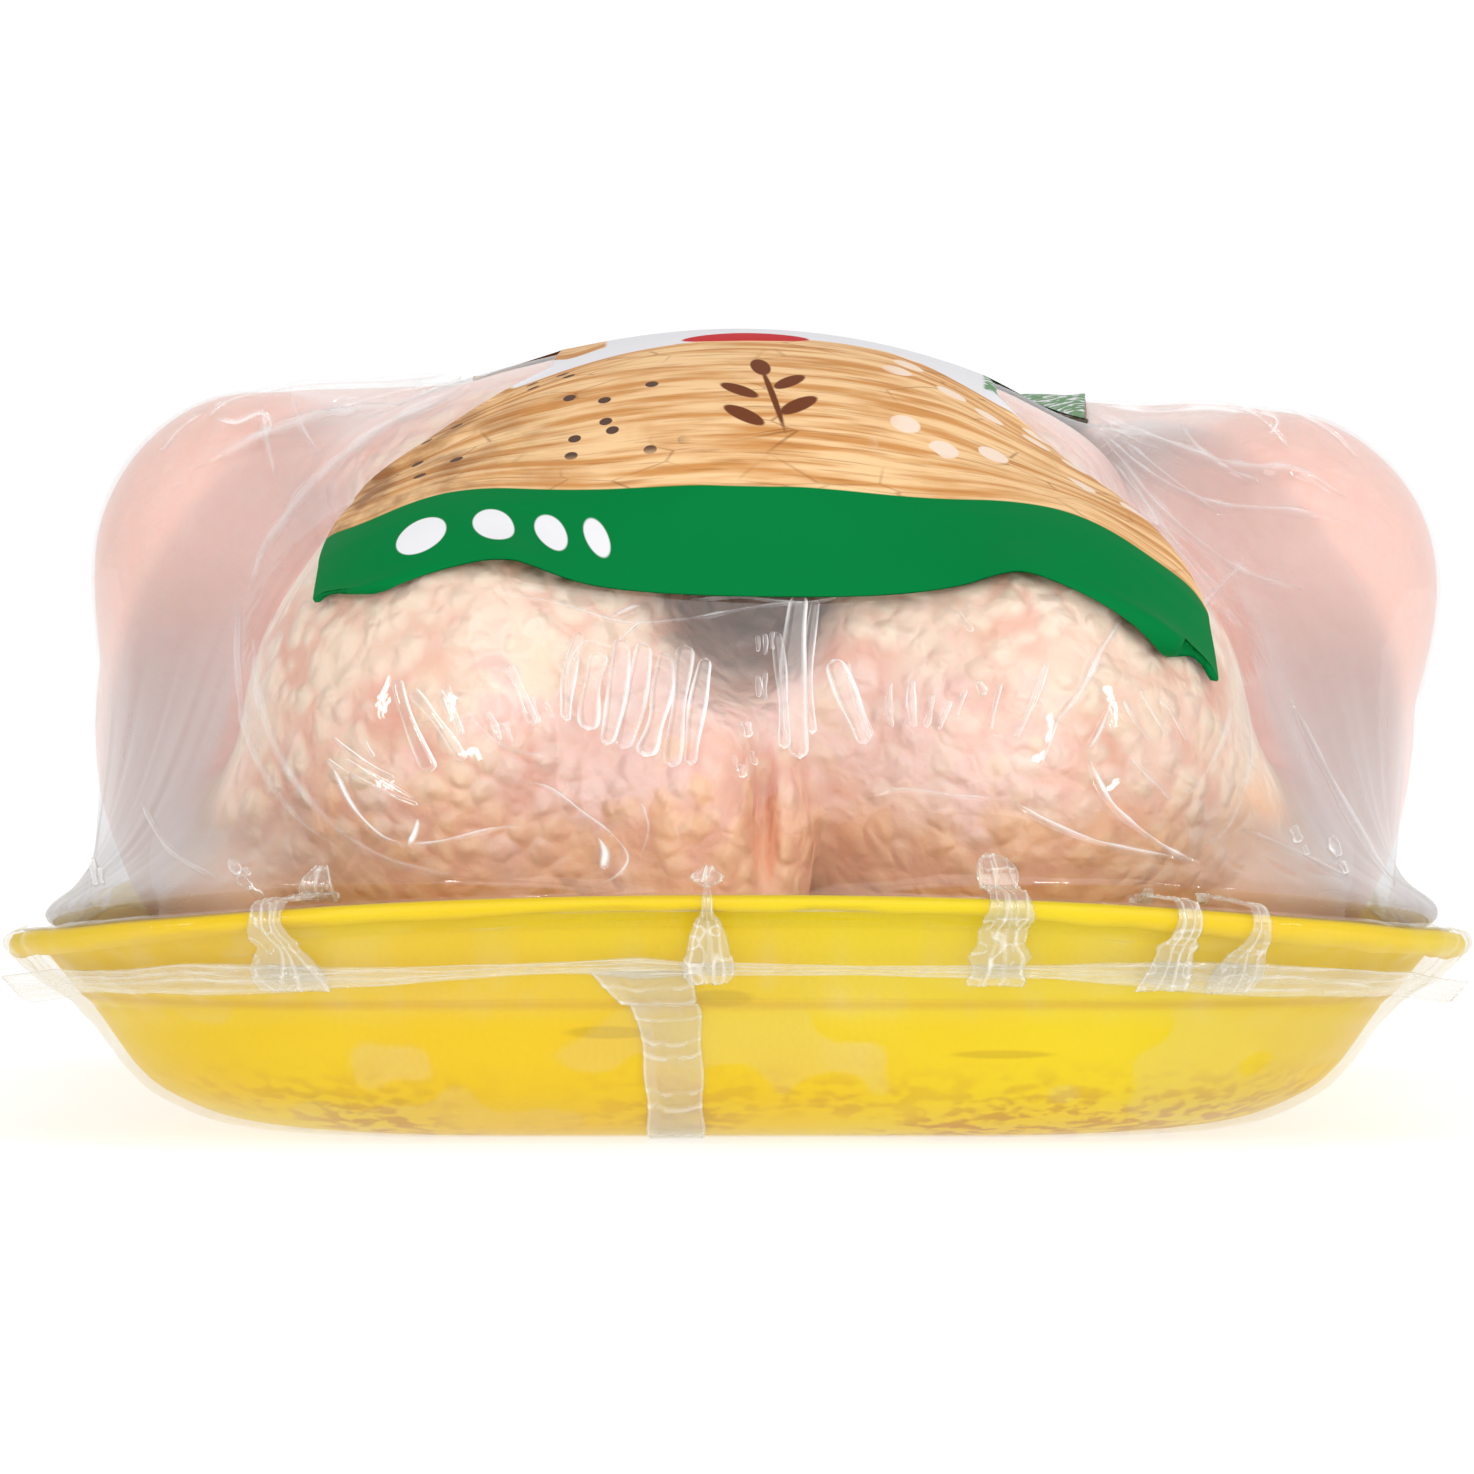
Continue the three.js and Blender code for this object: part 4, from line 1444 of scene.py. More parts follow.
    def build(self) -> Object:
        """Makes the upper film.

        Returns:
            The dressed film.
        """
        points = np.array(self.centre) + self.ways * self.reach[..., None]
        normals = grid_normals(points, closed=True)
        off = self.reach - self.floor
        loose = self.looseness(points, off)
        keep = smooth_step(points[..., 2] - points[:, :1, 2], 0.0, 5.0)
        lines = self.pull_lines(points, self.turn) * smooth_step(off, 0.3, 6.0) * keep
        points = points + normals * np.maximum(lines, -off * 0.5)[..., None]
        pole = points[:, -1].mean(0)
        fields = {"loose": loose[:, :-1]}
        piece = grid_mesh("film_top", points[:, :-1], high_pole=pole, fields=fields)
        # grey white share: the film's haze, darkened as painted shade of the hollows behind
        finish = FilmFinish(milk_and_painted_light=linear(204, 200, 200), loose_haze=0.34, streak_haze=0.14, haze=0.02)
        piece.data.materials.append(finish.material())
        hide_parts("wrapped_chicken")
        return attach(piece, ROOT)


@dataclass
class Blisters:
    """Long blisters and small bubbles of air in the film, where it is shrunk tight over the skin, with
    painted highlights round their rims.

    Each mark is as seen from the neck end: the places of its two ends and its width, in
    millimetres on an upright sheet.
    """

    film: Film
    across: int = 14
    along: int = 34
    height: float = 0.34
    lift: float = 0.12
    marks: list[Mark] = field(default_factory=lambda: [
        (-20.3, 65.8, -22.1, 54.3, 1.8), (-17.7, 63.2, -19.2, 53.1, 2.6),
        (-14.9, 65.1, -16.9, 51.2, 2.5), (-12.0, 64.5, -14.9, 50.7, 2.6),
        (-9.2, 63.2, -12.0, 49.7, 2.7), (-6.6, 64.2, -8.5, 48.3, 2.2), (-4.0, 62.5, -6.1, 48.6, 2.2),
        (-29.7, 61.6, -26.2, 53.8, 1.3), (-26.5, 57.5, -25.7, 54.0, 0.8),
        (-24.7, 56.9, -23.8, 54.8, 0.6), (-32.3, 55.7, -30.6, 51.8, 0.9),
        (-30.0, 54.3, -29.1, 51.7, 0.6), (-44.0, 59.7, -39.4, 47.8, 1.9),
        (-42.1, 58.4, -35.3, 49.1, 1.4), (-38.4, 58.4, -36.8, 54.3, 1.0),
        (-37.5, 59.0, -35.5, 52.6, 0.8), (-52.1, 52.2, -44.2, 47.0, 0.6),
        (-50.6, 49.4, -41.6, 44.2, 0.6), (-49.7, 47.4, -41.2, 43.5, 0.5),
        (-48.0, 51.7, -46.9, 49.7, 0.6), (-52.8, 49.4, -50.0, 47.6, 0.5), (5.0, 65.9, 6.1, 50.7, 1.5),
        (8.1, 70.8, 8.1, 49.4, 3.2), (10.2, 70.0, 9.7, 52.6, 1.2), (12.3, 62.3, 16.7, 51.3, 2.7),
        (14.1, 62.0, 17.4, 52.2, 0.9), (19.8, 59.4, 20.0, 53.5, 0.8), (22.6, 59.7, 22.9, 53.5, 1.2),
        (25.2, 57.8, 24.4, 53.5, 0.8), (27.5, 57.1, 26.0, 53.2, 0.8), (29.6, 58.4, 28.4, 55.0, 0.6),
        (31.1, 59.4, 32.0, 57.6, 1.2), (34.0, 59.2, 32.7, 53.2, 0.6), (39.9, 61.8, 35.8, 52.2, 0.8),
        (28.5, 68.5, 30.4, 65.9, 0.8), (2.6, 65.4, 2.7, 63.3, 0.6), (3.6, 65.6, 3.6, 62.9, 0.6),
        (4.6, 65.9, 4.6, 63.6, 0.6), (2.7, 60.2, 2.8, 57.4, 0.8), (3.7, 60.7, 3.7, 57.1, 0.6),
        (1.0, 54.5, 1.5, 52.2, 1.2), (0.4, 48.7, 0.9, 47.0, 1.0), (-0.5, 50.0, 0.0, 47.8, 0.6),
        (1.9, 50.4, 2.5, 48.6, 0.8), (-65.5, 36.4, -64.2, 34.5, 1.3), (-64.5, 34.1, -62.6, 32.7, 1.2),
        (-62.9, 32.8, -61.1, 31.7, 1.0), (-63.7, 35.4, -62.9, 34.4, 0.6),
        (-83.4, 36.7, -82.8, 33.1, 0.8), (-82.3, 35.4, -81.9, 33.3, 0.5),
        (71.7, 40.8, 72.6, 38.6, 1.2), (76.6, 39.5, 77.8, 36.8, 1.3), (77.9, 36.3, 78.8, 34.6, 0.9),
        (73.1, 38.3, 73.8, 37.0, 0.8), (50.0, 57.1, 53.3, 51.9, 0.6), (52.1, 58.4, 55.7, 52.6, 0.5),
        (54.6, 57.1, 58.0, 51.9, 0.5), (50.8, 49.4, 55.9, 44.2, 0.5),
    ])

    def one(self, mark: Mark, number: int) -> Object:
        """One blister: a capsule-shaped dome, steep at its rim and flat on top, with a painted highlight
        round its rim that is brighter on one side.

        Its half width goes with the root of 1 - e^2 near its tips, where e is the share of the way
        to the tip, and its height with about the cube root of 1 - u^2 across.

        Args:
            mark: x and z of both ends, and the width.
            number: seeds the blister's unevenness.

        Returns:
            The blister, undressed.
        """
        x0, z0, x1, z1, width = mark
        draw = np.random.default_rng(number)
        v = np.linspace(-1, 1, self.along)[None, :]
        u = np.linspace(-1, 1, self.across)[:, None]
        long = math.hypot(x1 - x0, z1 - z0)
        tip = np.clip(width / long, 0.0, 1.0)
        end = np.clip((np.abs(v) - (1 - tip)) / tip, 0, 1)
        half = width / 2 * np.sqrt(np.maximum(1 - end**2, 0.0004))
        half = half * (1 + 0.18 * np.sin(v * draw.uniform(2, 5) + draw.uniform(0, 6)))
        bow = draw.uniform(-0.05, 0.05) * long * (1 - v**2)
        side = np.array([z0 - z1, x1 - x0]) / long
        middle = np.stack([x0 + (x1 - x0) * (v + 1) / 2, z0 + (z1 - z0) * (v + 1) / 2])
        x = middle[0] + side[0] * (u * half + bow)
        z = middle[1] + side[1] * (u * half + bow)
        dome = np.clip(1 - u**2, 0, 1) ** 0.34 * np.clip(1 - end**2, 0, 1) ** 0.25
        rise = self.lift + min(self.height, width * 0.22) * dome
        r = np.maximum(np.abs(u) + 0 * v, end * (1 - 0.1 * np.abs(u)))
        # painted highlight: white round the blister's rim, brighter on one side and of random strength
        ring = smooth_step(r, 0.58, 0.86)
        painted_highlight_side = 0.35 + 0.65 * smooth_step(np.sin(v * 2.3 + draw.uniform(0, 6)) + 0.8 * u, -0.7, 0.7)
        highlight_and_crumple = draw.uniform(0.65, 1.0) * ring * painted_highlight_side
        return self.film.patch(f"blister_{number}", (x, z), rise, highlight_and_crumple)

    def build(self) -> Object:
        """Makes all the blisters as one piece.

        Returns:
            The dressed blisters.
        """
        parts = [self.one(mark, number) for number, mark in enumerate(self.marks)]
        piece = joined("film_blisters", parts)
        finish = FilmFinish(
            name="blistered film", milk_and_painted_light=linear(254, 254, 254), haze=0.03, face_gloss=0.08, ripple=0.00005
        )
        piece.data.materials.append(finish.material())
        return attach(piece, ROOT)


@dataclass
class Folds:
    """Sharp folds and pulls in the film: narrow ridges along curves, as seen from the neck end, with
    painted highlights along their crests.
    """

    film: Film
    across: int = 12
    spacing: float = 0.5
    fineness: int = 12
    lines: list[tuple[list[Pair], float, float]] = field(default_factory=lambda: [
        ([(-22.1, 54.3), (-22.1, 58.4), (-21.4, 62.3), (-19.2, 64.7), (-16.4, 64.0), (-12.8, 66.9),
          (-9.7, 68.5)], 0.6, 0.60),
        ([(-16.1, 67.7), (-14.2, 68.6), (-12.5, 69.2)], 1.2, 0.50),
        ([(-41.1, 41.7), (-41.7, 39.9), (-42.5, 38.3)], 1.0, 0.85),
        ([(-52.2, 48.7), (-49.7, 43.4), (-46.1, 39.5), (-42.5, 38.1)], 0.9, 0.80),
        ([(-43.0, 38.1), (-38.4, 38.6), (-31.9, 40.2), (-28.0, 40.8)], 0.9, 0.75),
        ([(-28.8, 46.8), (-24.2, 45.6), (-19.9, 42.4), (-16.1, 39.5), (-14.2, 36.7), (-15.4, 34.5),
          (-17.7, 33.2)], 0.8, 0.55),
        ([(-18.0, 39.3), (-17.3, 37.1), (-17.7, 34.9)], 1.7, 0.85),
        ([(45.1, 50.4), (46.2, 47.4), (48.4, 43.5), (52.1, 40.1), (56.1, 37.3), (59.7, 35.9)], 1.2, 0.95),
        ([(35.1, 44.2), (39.8, 41.4), (45.7, 38.8), (52.1, 37.3), (57.5, 36.4)], 1.0, 0.70),
        ([(49.7, 67.7), (46.9, 63.6), (44.3, 58.4), (42.0, 55.4), (40.3, 53.1)], 1.5, 0.50),
        ([(41.6, 55.2), (40.2, 51.3), (38.9, 47.7)], 0.8, 0.50),
        ([(48.4, 58.4), (47.9, 56.1), (46.6, 53.0), (45.1, 50.4)], 0.9, 0.70),
        ([(-33.5, 71.6), (-28.0, 70.4), (-22.9, 69.5), (-14.5, 67.1), (-6.1, 67.6), (3.0, 69.2),
          (12.0, 70.0)], 0.6, 0.35),
        ([(-6.1, 70.0), (0.4, 70.4), (8.1, 69.6), (13.6, 70.5)], 0.6, 0.40),
        ([(-62.3, 64.9), (-61.4, 57.1), (-58.0, 48.1), (-51.3, 40.1), (-44.2, 35.9),
          (-34.5, 33.9)], 1.2, 0.22),
        ([(-64.2, 70.0), (-64.5, 62.3), (-62.9, 51.9), (-57.7, 42.9), (-51.3, 37.7)], 0.9, 0.16),
        ([(63.2, 64.9), (65.2, 57.1), (65.9, 49.4), (63.4, 41.0), (59.8, 37.7)], 1.2, 0.20),
        ([(57.2, 44.2), (59.8, 46.8), (62.6, 51.9), (63.9, 57.1)], 0.8, 0.22),
        ([(15.9, 44.2), (21.1, 45.5), (27.5, 44.8), (34.0, 44.2)], 0.6, 0.28),
        ([(-12.5, 44.2), (-11.5, 40.3), (-12.5, 36.7)], 0.6, 0.30),
        ([(-36.4, 57.1), (-30.6, 51.3), (-22.9, 49.4)], 0.6, 0.18),
        ([(-61.4, 95.2), (-60.8, 90.7), (-59.5, 85.8)], 1.3, 0.30),
        ([(-57.5, 96.9), (-56.4, 92.6), (-54.1, 89.1)], 1.0, 0.24),
        ([(-68.6, 93.3), (-65.7, 95.6), (-61.4, 96.9)], 0.9, 0.30),
        ([(-74.5, 88.8), (-71.9, 92.0), (-68.7, 94.3)], 0.8, 0.24),
        ([(57.0, 93.5), (59.3, 89.4), (63.9, 86.3), (67.8, 85.0)], 1.3, 0.30),
        ([(63.7, 95.3), (67.8, 93.3), (71.4, 89.4)], 0.9, 0.26),
        ([(71.4, 94.6), (76.6, 91.7), (80.7, 87.8)], 0.8, 0.22),
        ([(47.4, 88.8), (52.1, 82.9), (58.5, 75.2), (63.7, 70.0)], 0.9, 0.24),
        ([(49.5, 90.7), (55.9, 85.5), (63.0, 80.4)], 0.8, 0.20),
        ([(-56.4, 82.9), (-60.6, 77.8), (-62.9, 71.3)], 0.9, 0.20),
        ([(-52.6, 86.8), (-46.1, 92.0), (-37.1, 95.9)], 0.8, 0.20),
        ([(-77.1, 44.2), (-73.2, 37.7), (-66.8, 33.9)], 0.9, 0.20),
        ([(71.4, 57.1), (76.6, 46.8), (81.8, 37.7), (85.0, 33.2)], 1.0, 0.22),
        ([(65.0, 40.3), (71.4, 37.7), (79.2, 33.9)], 0.9, 0.22),
        ([(45.3, 94.3), (53.3, 90.7), (63.7, 87.1), (72.7, 86.3), (78.5, 82.9)], 2.1, 0.34),
        ([(46.4, 91.7), (53.3, 86.0), (61.7, 82.2), (71.4, 81.4), (78.9, 79.8)], 1.5, 0.40),
        ([(45.9, 95.3), (53.3, 94.3), (61.1, 94.6), (67.8, 93.8)], 1.4, 0.40),
        ([(49.5, 86.8), (55.9, 77.1), (65.0, 66.2)], 1.8, 0.22),
        ([(47.7, 89.9), (54.6, 81.6), (64.5, 73.9), (72.7, 71.3)], 1.3, 0.26),
        ([(57.2, 64.9), (60.8, 70.0), (65.7, 75.2)], 1.0, 0.24),
        ([(-35.5, 98.4), (-47.1, 96.1), (-61.4, 91.2), (-69.9, 86.6)], 1.8, 0.30),
        ([(-34.5, 97.4), (-44.6, 92.8), (-55.2, 84.7), (-61.4, 75.2)], 1.5, 0.24),
        ([(-36.8, 99.2), (-46.1, 98.4), (-56.4, 97.9), (-64.2, 96.1)], 1.3, 0.36),
        ([(-67.8, 93.5), (-64.7, 92.8), (-61.4, 94.0), (-60.3, 92.0), (-63.7, 90.7)], 1.2, 0.50),
        ([(67.0, 94.3), (69.6, 93.3), (68.6, 91.2)], 1.0, 0.50),
    ])

    def one(self, line: tuple[list[Pair], float, float], number: int) -> Object:
        """One fold: a bell-shaped ridge carried along a smooth curve, thin at both ends.

        Args:
            line: the curve's places, the fold's width and how white its crest is painted, as a highlight.
            number: seeds its unevenness.

        Returns:
            The fold, undressed.
        """
        places, width, milk_and_painted_light = line
        curve = rounded(places, self.fineness)
        gone = travelled(curve)
        t = np.linspace(0, 1, max(12, int(gone[-1] / self.spacing)))
        path = between_points(curve, gone, t * gone[-1])
        way = unit(np.gradient(path, axis=0))
        sway = line_noise(t * gone[-1], number * 9.0, 2.6, 95)
        half = width / 2 * (1 + 0.5 * sway) * np.clip(np.minimum(t, 1 - t) * 7, 0.12, 1)
        u = np.linspace(-1, 1, self.across)[:, None]
        x = path[None, :, 0] - way[None, :, 1] * u * half
        z = path[None, :, 1] + way[None, :, 0] * u * half
        bell = np.exp(-((u * 1.9) ** 2)) - math.exp(-(1.9**2))
        # painted highlight along the crest, a little off the ridge's middle
        crest = np.exp(-(((u - 0.25) * 2.6) ** 2))
        highlight_and_crumple = 1.25 * milk_and_painted_light * crest * (0.72 + 0.28 * sway) * np.clip(np.minimum(t, 1 - t) * 6, 0, 1)
        return self.film.patch(f"fold_{number}", (x, z), 0.1 + 0.34 * width * bell, highlight_and_crumple)

    def build(self) -> Object:
        """Makes all the folds as one piece.

        Returns:
            The dressed folds.
        """
        parts = [self.one(line, number) for number, line in enumerate(self.lines)]
        piece = joined("film_folds", parts)
        finish = FilmFinish(
            name="folded film", milk_and_painted_light=linear(254, 254, 254), haze=0.0, face_gloss=0.07, ripple=0.00005
        )
        piece.data.materials.append(finish.material())
        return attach(piece, ROOT)


@dataclass
class FilmSkirt:
    """The film below the rim: over the lip, off it to the seal, and down the wall to the base."""

    tray: Tray
    columns: int = 760
    fineness: int = 8
    crowding: float = 0.45
    under: float = 0.06
    section: list[Pair] = field(default_factory=lambda: [
        (0.985, 28.5), (1.001, 27.9), (1.006, 26.5), (0.994, 24.8), (0.962, 21.8), (0.915, 18.6),
        (0.896, 16.6), (0.877, 14.6), (0.853, 11.2), (0.828, 8.0), (0.794, 5.0), (0.727, 1.7),
        (0.662, 0.45), (0.6, 0.06),
    ])

    def build(self) -> Object:
        """Makes the skirt of film, closed under the base.

        The film hangs in fine upright gathers between the lip and the seal. On the wall it touches
        the foam in patches and stands off it elsewhere, by clipped soft noise.

        Returns:
            The dressed film.
        """
        fine = rounded(self.section[::-1], self.fineness)
        turn = crowded_turns(self.columns, self.crowding)[:, None]
        points = self.tray.point(turn, fine[None, :, 0], fine[None, :, 1])
        normals = grid_normals(points, closed=True)
        height = points[..., 2]
        veil = smooth_step(height, 15.0, 19.0) * smooth_step(height, 30.0, 27.0)
        plan = points * np.array([1.0, 1.0, 0.15])
        gather = soft_noise(plan, 4.2, 70) + 0.6 * soft_noise(plan, 1.9, 71)
        wall = smooth_step(height, 1.0, 4.0) * smooth_step(height, 20.0, 15.0)
        broad = soft_noise(points * np.array([0.35, 0.35, 1.6]), 12.0, 72)
        blister = np.clip(broad + 0.3 * soft_noise(points, 6.0, 73), 0, 1)
        push = 0.3 + 0.4 * veil * gather + 0.5 * wall * blister
        push = np.where(height < 0.5, 0.0, push)
        points = points + normals * push[..., None]
        points[..., 2] = np.maximum(points[..., 2], self.under)
        loose = np.clip(0.5 * veil + wall * smooth_step(blister, 0.0, 0.05), 0, 1)
        highlight_and_crumple = 0.05 * veil * np.clip(gather, 0, 1)
        piece = grid_mesh(
            "film_skirt", points, low_pole=np.array([0, 0, self.under]),
            fields={"loose": loose, "highlight_and_crumple": highlight_and_crumple},
        )
        finish = FilmFinish(
            name="clear film on foam", haze=0.0, loose_haze=0.06, streak_haze=0.05,
            smoke_and_shade=(0.96, 0.96, 0.94, 1.0), face_gloss=0.022,
        )
        piece.data.materials.append(finish.material())
        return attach(piece, ROOT)


def ribbon(
    name: str, path: tuple[Array, Array, Array], half: Array, thick: float, relief: Array, milk_and_painted_light: Array
) -> Object:
    """A flat closed ribbon of crumpled film, carried along a path, with ridges on its outer face.

    Args:
        name: the piece's name.
        path: middle places, and unit directions of width and thickness, each (n, 3).
        half: half width at each place.
        thick: half thickness.
        relief: height of the ridges along and across, shape (n, m).
        milk_and_painted_light: how white the film is there, from crumpling and from painted highlights on
            its ridges.

    Returns:
        The dressed ribbon.
    """
    middle, across, out = path
    w = np.linspace(-1, 1, relief.shape[1])
    side = across[:, None] * (half[:, None] * w)[..., None]
    belly = thick * np.sqrt(1 - np.abs(w) ** 3)[None, :]
    upper = middle[:, None] + side + out[:, None] * (belly + relief)[..., None]
    lower = middle[:, None] + side[:, ::-1] - out[:, None] * belly[..., None]
    ring = np.concatenate([upper, lower[:, 1:-1]], axis=1)
    ring[..., 2] = np.maximum(ring[..., 2], 0.1)
    highlight_and_crumple = np.concatenate([milk_and_painted_light, 0 * milk_and_painted_light[:, 1:-1]], axis=1)
    grid = ring.transpose(1, 0, 2)[::-1]
    fields = {"loose": 0 * highlight_and_crumple.T[::-1], "highlight_and_crumple": highlight_and_crumple.T[::-1]}
    piece = grid_mesh(name, grid, low_pole=ring[0].mean(0), high_pole=ring[-1].mean(0), fields=fields)
    finish = FilmFinish(
        name="sealed film", milk_and_painted_light=linear(240, 235, 224), haze=0.05, streak_haze=0.08, face_gloss=0.09,
        ripple=0.0002,
    )
    piece.data.materials.append(finish.material())
    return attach(piece, ROOT)


def ridges(t: Array, w: Array, middles: list[float], width: float, sway: float, seed: int) -> Array:
    """Thin ridges that run along a ribbon: bell curves about middles that sway with soft noise.

    Args:
        t: distance along the ribbon in millimetres, shape (n, 1).
        w: place across from -1 to 1, shape (1, m).
        middles: where the ridges run, across.
        width: their half width, across.
        sway: how far they sway, across.
        seed: picks the noise.

    Returns:
        Heights from 0 to 1, shape (n, m).
    """
    total = np.zeros(np.broadcast_shapes(t.shape, w.shape))
    for k, middle in enumerate(middles):
        off = w - middle - sway * line_noise(t, 31.0 * k, 9.0, seed + k)
        fade = 0.6 + 0.4 * line_noise(t, 31.0 * k, 5.0, seed + 20 + k)
        total = np.maximum(total, np.exp(-((off / width) ** 2)) * fade)
    return total


def ribbon_places(gone: Array, w: Array, half: Array, lane: float = 0.0) -> Array:
    """Places on a ribbon for noise: along it, across its half width, and a lane of its own."""
    return np.stack(np.broadcast_arrays(gone, w * half[:, None], lane), axis=-1)


@dataclass
class Seals:
    """The film's sealed edges: a ropey band across each end, and a lap seam down each end's wall."""

    tray: Tray
    low: Pair = (0.905, 18.9)
    high: Pair = (0.94, 22.6)
    half_turn: float = 0.93
    stations: int = 640
    band_half: Pair = (0.95, 2.7)
    knot: Triple = (-13.0, 5.0, 0.9)
    ear_length: float = 0.07
    ear_reach: float = 5.4
    clearance: float = 1.0
    seam_middle: Pair = (-7.8, -4.6)
    seam_half: Pair = (3.6, 2.9)
    seam_top: Pair = (0.914, 20.8)
    seam_fall: float = 5.0
    seam_stations: int = 260
    wrinkles: tuple[float, ...] = (0.05, 0.13, 0.2, 0.31, 0.4, 0.45, 0.6, 0.66, 0.8, 0.93)
    wrinkle_half: float = 0.009

    def outward(self, turn: Array) -> Array:
        """Level directions away from the tray's wall: its plan tangent turned by a right angle."""
        tangent = self.tray.chord(turn, 0.01, self.low)
        return unit(np.stack([tangent[..., 1], -tangent[..., 0], 0 * tangent[..., 2]], axis=-1))

    def band(self, name: str, end: End) -> Object:
        """The ropey band across one end: thin in the middle, wide at its ends, with a knot.

        Args:
            name: the CAD node that it stands for.
            end: which end.

        Returns:
            The dressed band.
        """
        share = np.linspace(-1, 1, self.stations)
        turn = end.value + self.half_turn * share
        out = self.outward(turn)
        foot, head = self.tray.point(turn, *self.low), self.tray.point(turn, *self.high)
        tail = smooth_step(np.abs(share), 1 - self.ear_length, 1.0)
        middle = (foot + head) / 2 + out * (self.clearance + self.ear_reach * tail**1.5)[:, None]
        middle[:, 2] += 0.45 * line_noise(turn * 60, 0.0, 14.0, 86) - 1.2 * tail
        thin, wide = self.band_half
        half = thin + (wide - thin) * smooth_step(np.abs(share), 0.3, 0.72)
        knot_middle, reach, more = self.knot
        half = half + more * np.exp(-(((middle[:, 0] * math.cos(end.value) - knot_middle) / reach) ** 2))
        half = half * (1 + 0.16 * line_noise(turn * 60, 0.0, 5.0, 87))
        gone = travelled(middle)[:, None]
        w = np.linspace(-1, 1, 26)[None, :]
        cords = ridges(gone, w, [-0.78, -0.2, 0.35, 0.85], 0.13, 0.3, 100)
        fine = ridges(gone, w, [-0.5, 0.1, 0.6], 0.07, 0.45, 140)
        place = ribbon_places(gone, w, half)
        crumple = 0.12 * soft_noise(place, 1.3, 81) + 0.12 * soft_noise(place, 3.0, 82)
        relief = 0.5 * cords + 0.2 * fine + crumple
        # the ridges are painted whiter: crumpled film's whitening, and painted highlights
        milk_and_painted_light = 0.5 * cords + 0.4 * fine + 0.12 * np.abs(soft_noise(place, 2.0, 83)) + 0.04
        piece = ribbon(f"band_{name}", (middle, unit(head - foot), out), half, 0.3, relief, milk_and_painted_light)
        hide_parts(name)
        return piece

    def seam(self, name: str, end: End) -> Object:
        """The lap seam down one end's wall: wide at the band, then narrow, with cross wrinkles.

        Args:
            name: the CAD node that it stands for.
            end: which end.

        Returns:
            The dressed seam.
        """
        wall = [point for point in self.tray.outside if point[1] < self.low[1]] + [self.seam_top]
        section = rounded(wall, self.tray.fineness)[::-1]
        drop = np.linspace(0, 1, self.seam_stations)
        rows = drop * (len(section) - 1)
        share, height = between_points(section, np.arange(len(section)), rows).T
        fall = np.exp(-self.seam_fall * drop)
        lean = self.seam_middle[0] + self.seam_middle[1] * fall
        turn = self.tray.turn_at(lean, end, share, height)
        middle = self.tray.point(turn, share, height)
        down = unit(np.gradient(middle, axis=0))
        across = np.stack([0 * drop + math.cos(end.value), 0 * drop, 0 * drop], axis=-1)
        out = unit(np.cross(across, down) * -1)
        half = self.seam_half[0] + self.seam_half[1] * fall + 0.15 * np.sin(drop * 26)
        w = np.linspace(-1, 1, 40)[None, :]
        t = drop[:, None]
        cross = np.zeros((len(drop), w.shape[1]))
        for k, wrinkle in enumerate(self.wrinkles):
            strewn = line_noise(w[0] * 3 + 17 * k, 0.0, 1.0, 160)
            off = t - wrinkle - 0.022 * (1 - w**2) - 0.008 * strewn
            bell = np.exp(-((off / self.wrinkle_half) ** 2))
            cross = np.maximum(cross, bell * (0.6 + 0.4 * strewn))
        edge = np.exp(-(((np.abs(w) - 0.94) / 0.05) ** 2)) + 0 * t
        overlap = smooth_step(-w, 0.5, 0.62) * np.ones_like(t)
        noise = soft_noise(ribbon_places(t * 18, w, half), 1.6, 84)
        relief = 0.28 * cross + 0.14 * edge + 0.1 * noise + 0.12 * overlap
        # the wrinkles and edges are painted whiter: crumpled and doubled film, and painted highlights
        milk_and_painted_light = 0.5 * cross + 0.35 * edge + 0.14 * overlap
        milk_and_painted_light = milk_and_painted_light + 0.16 * np.clip(noise * fall[:, None] * 3, 0, 1)
        piece = ribbon(f"seam_{name}", (middle + out * 0.75, across, out), half, 0.14, relief, milk_and_painted_light)
        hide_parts(name)
        return piece

    def build(self) -> list[Object]:
        """Makes both bands and both seams."""
        return [
            self.band("end_seal_front", End.FRONT),
            self.band("end_seal_back", End.BACK),
            self.seam("lap_seam_front", End.FRONT),
            self.seam("lap_seam_back", End.BACK),
        ]


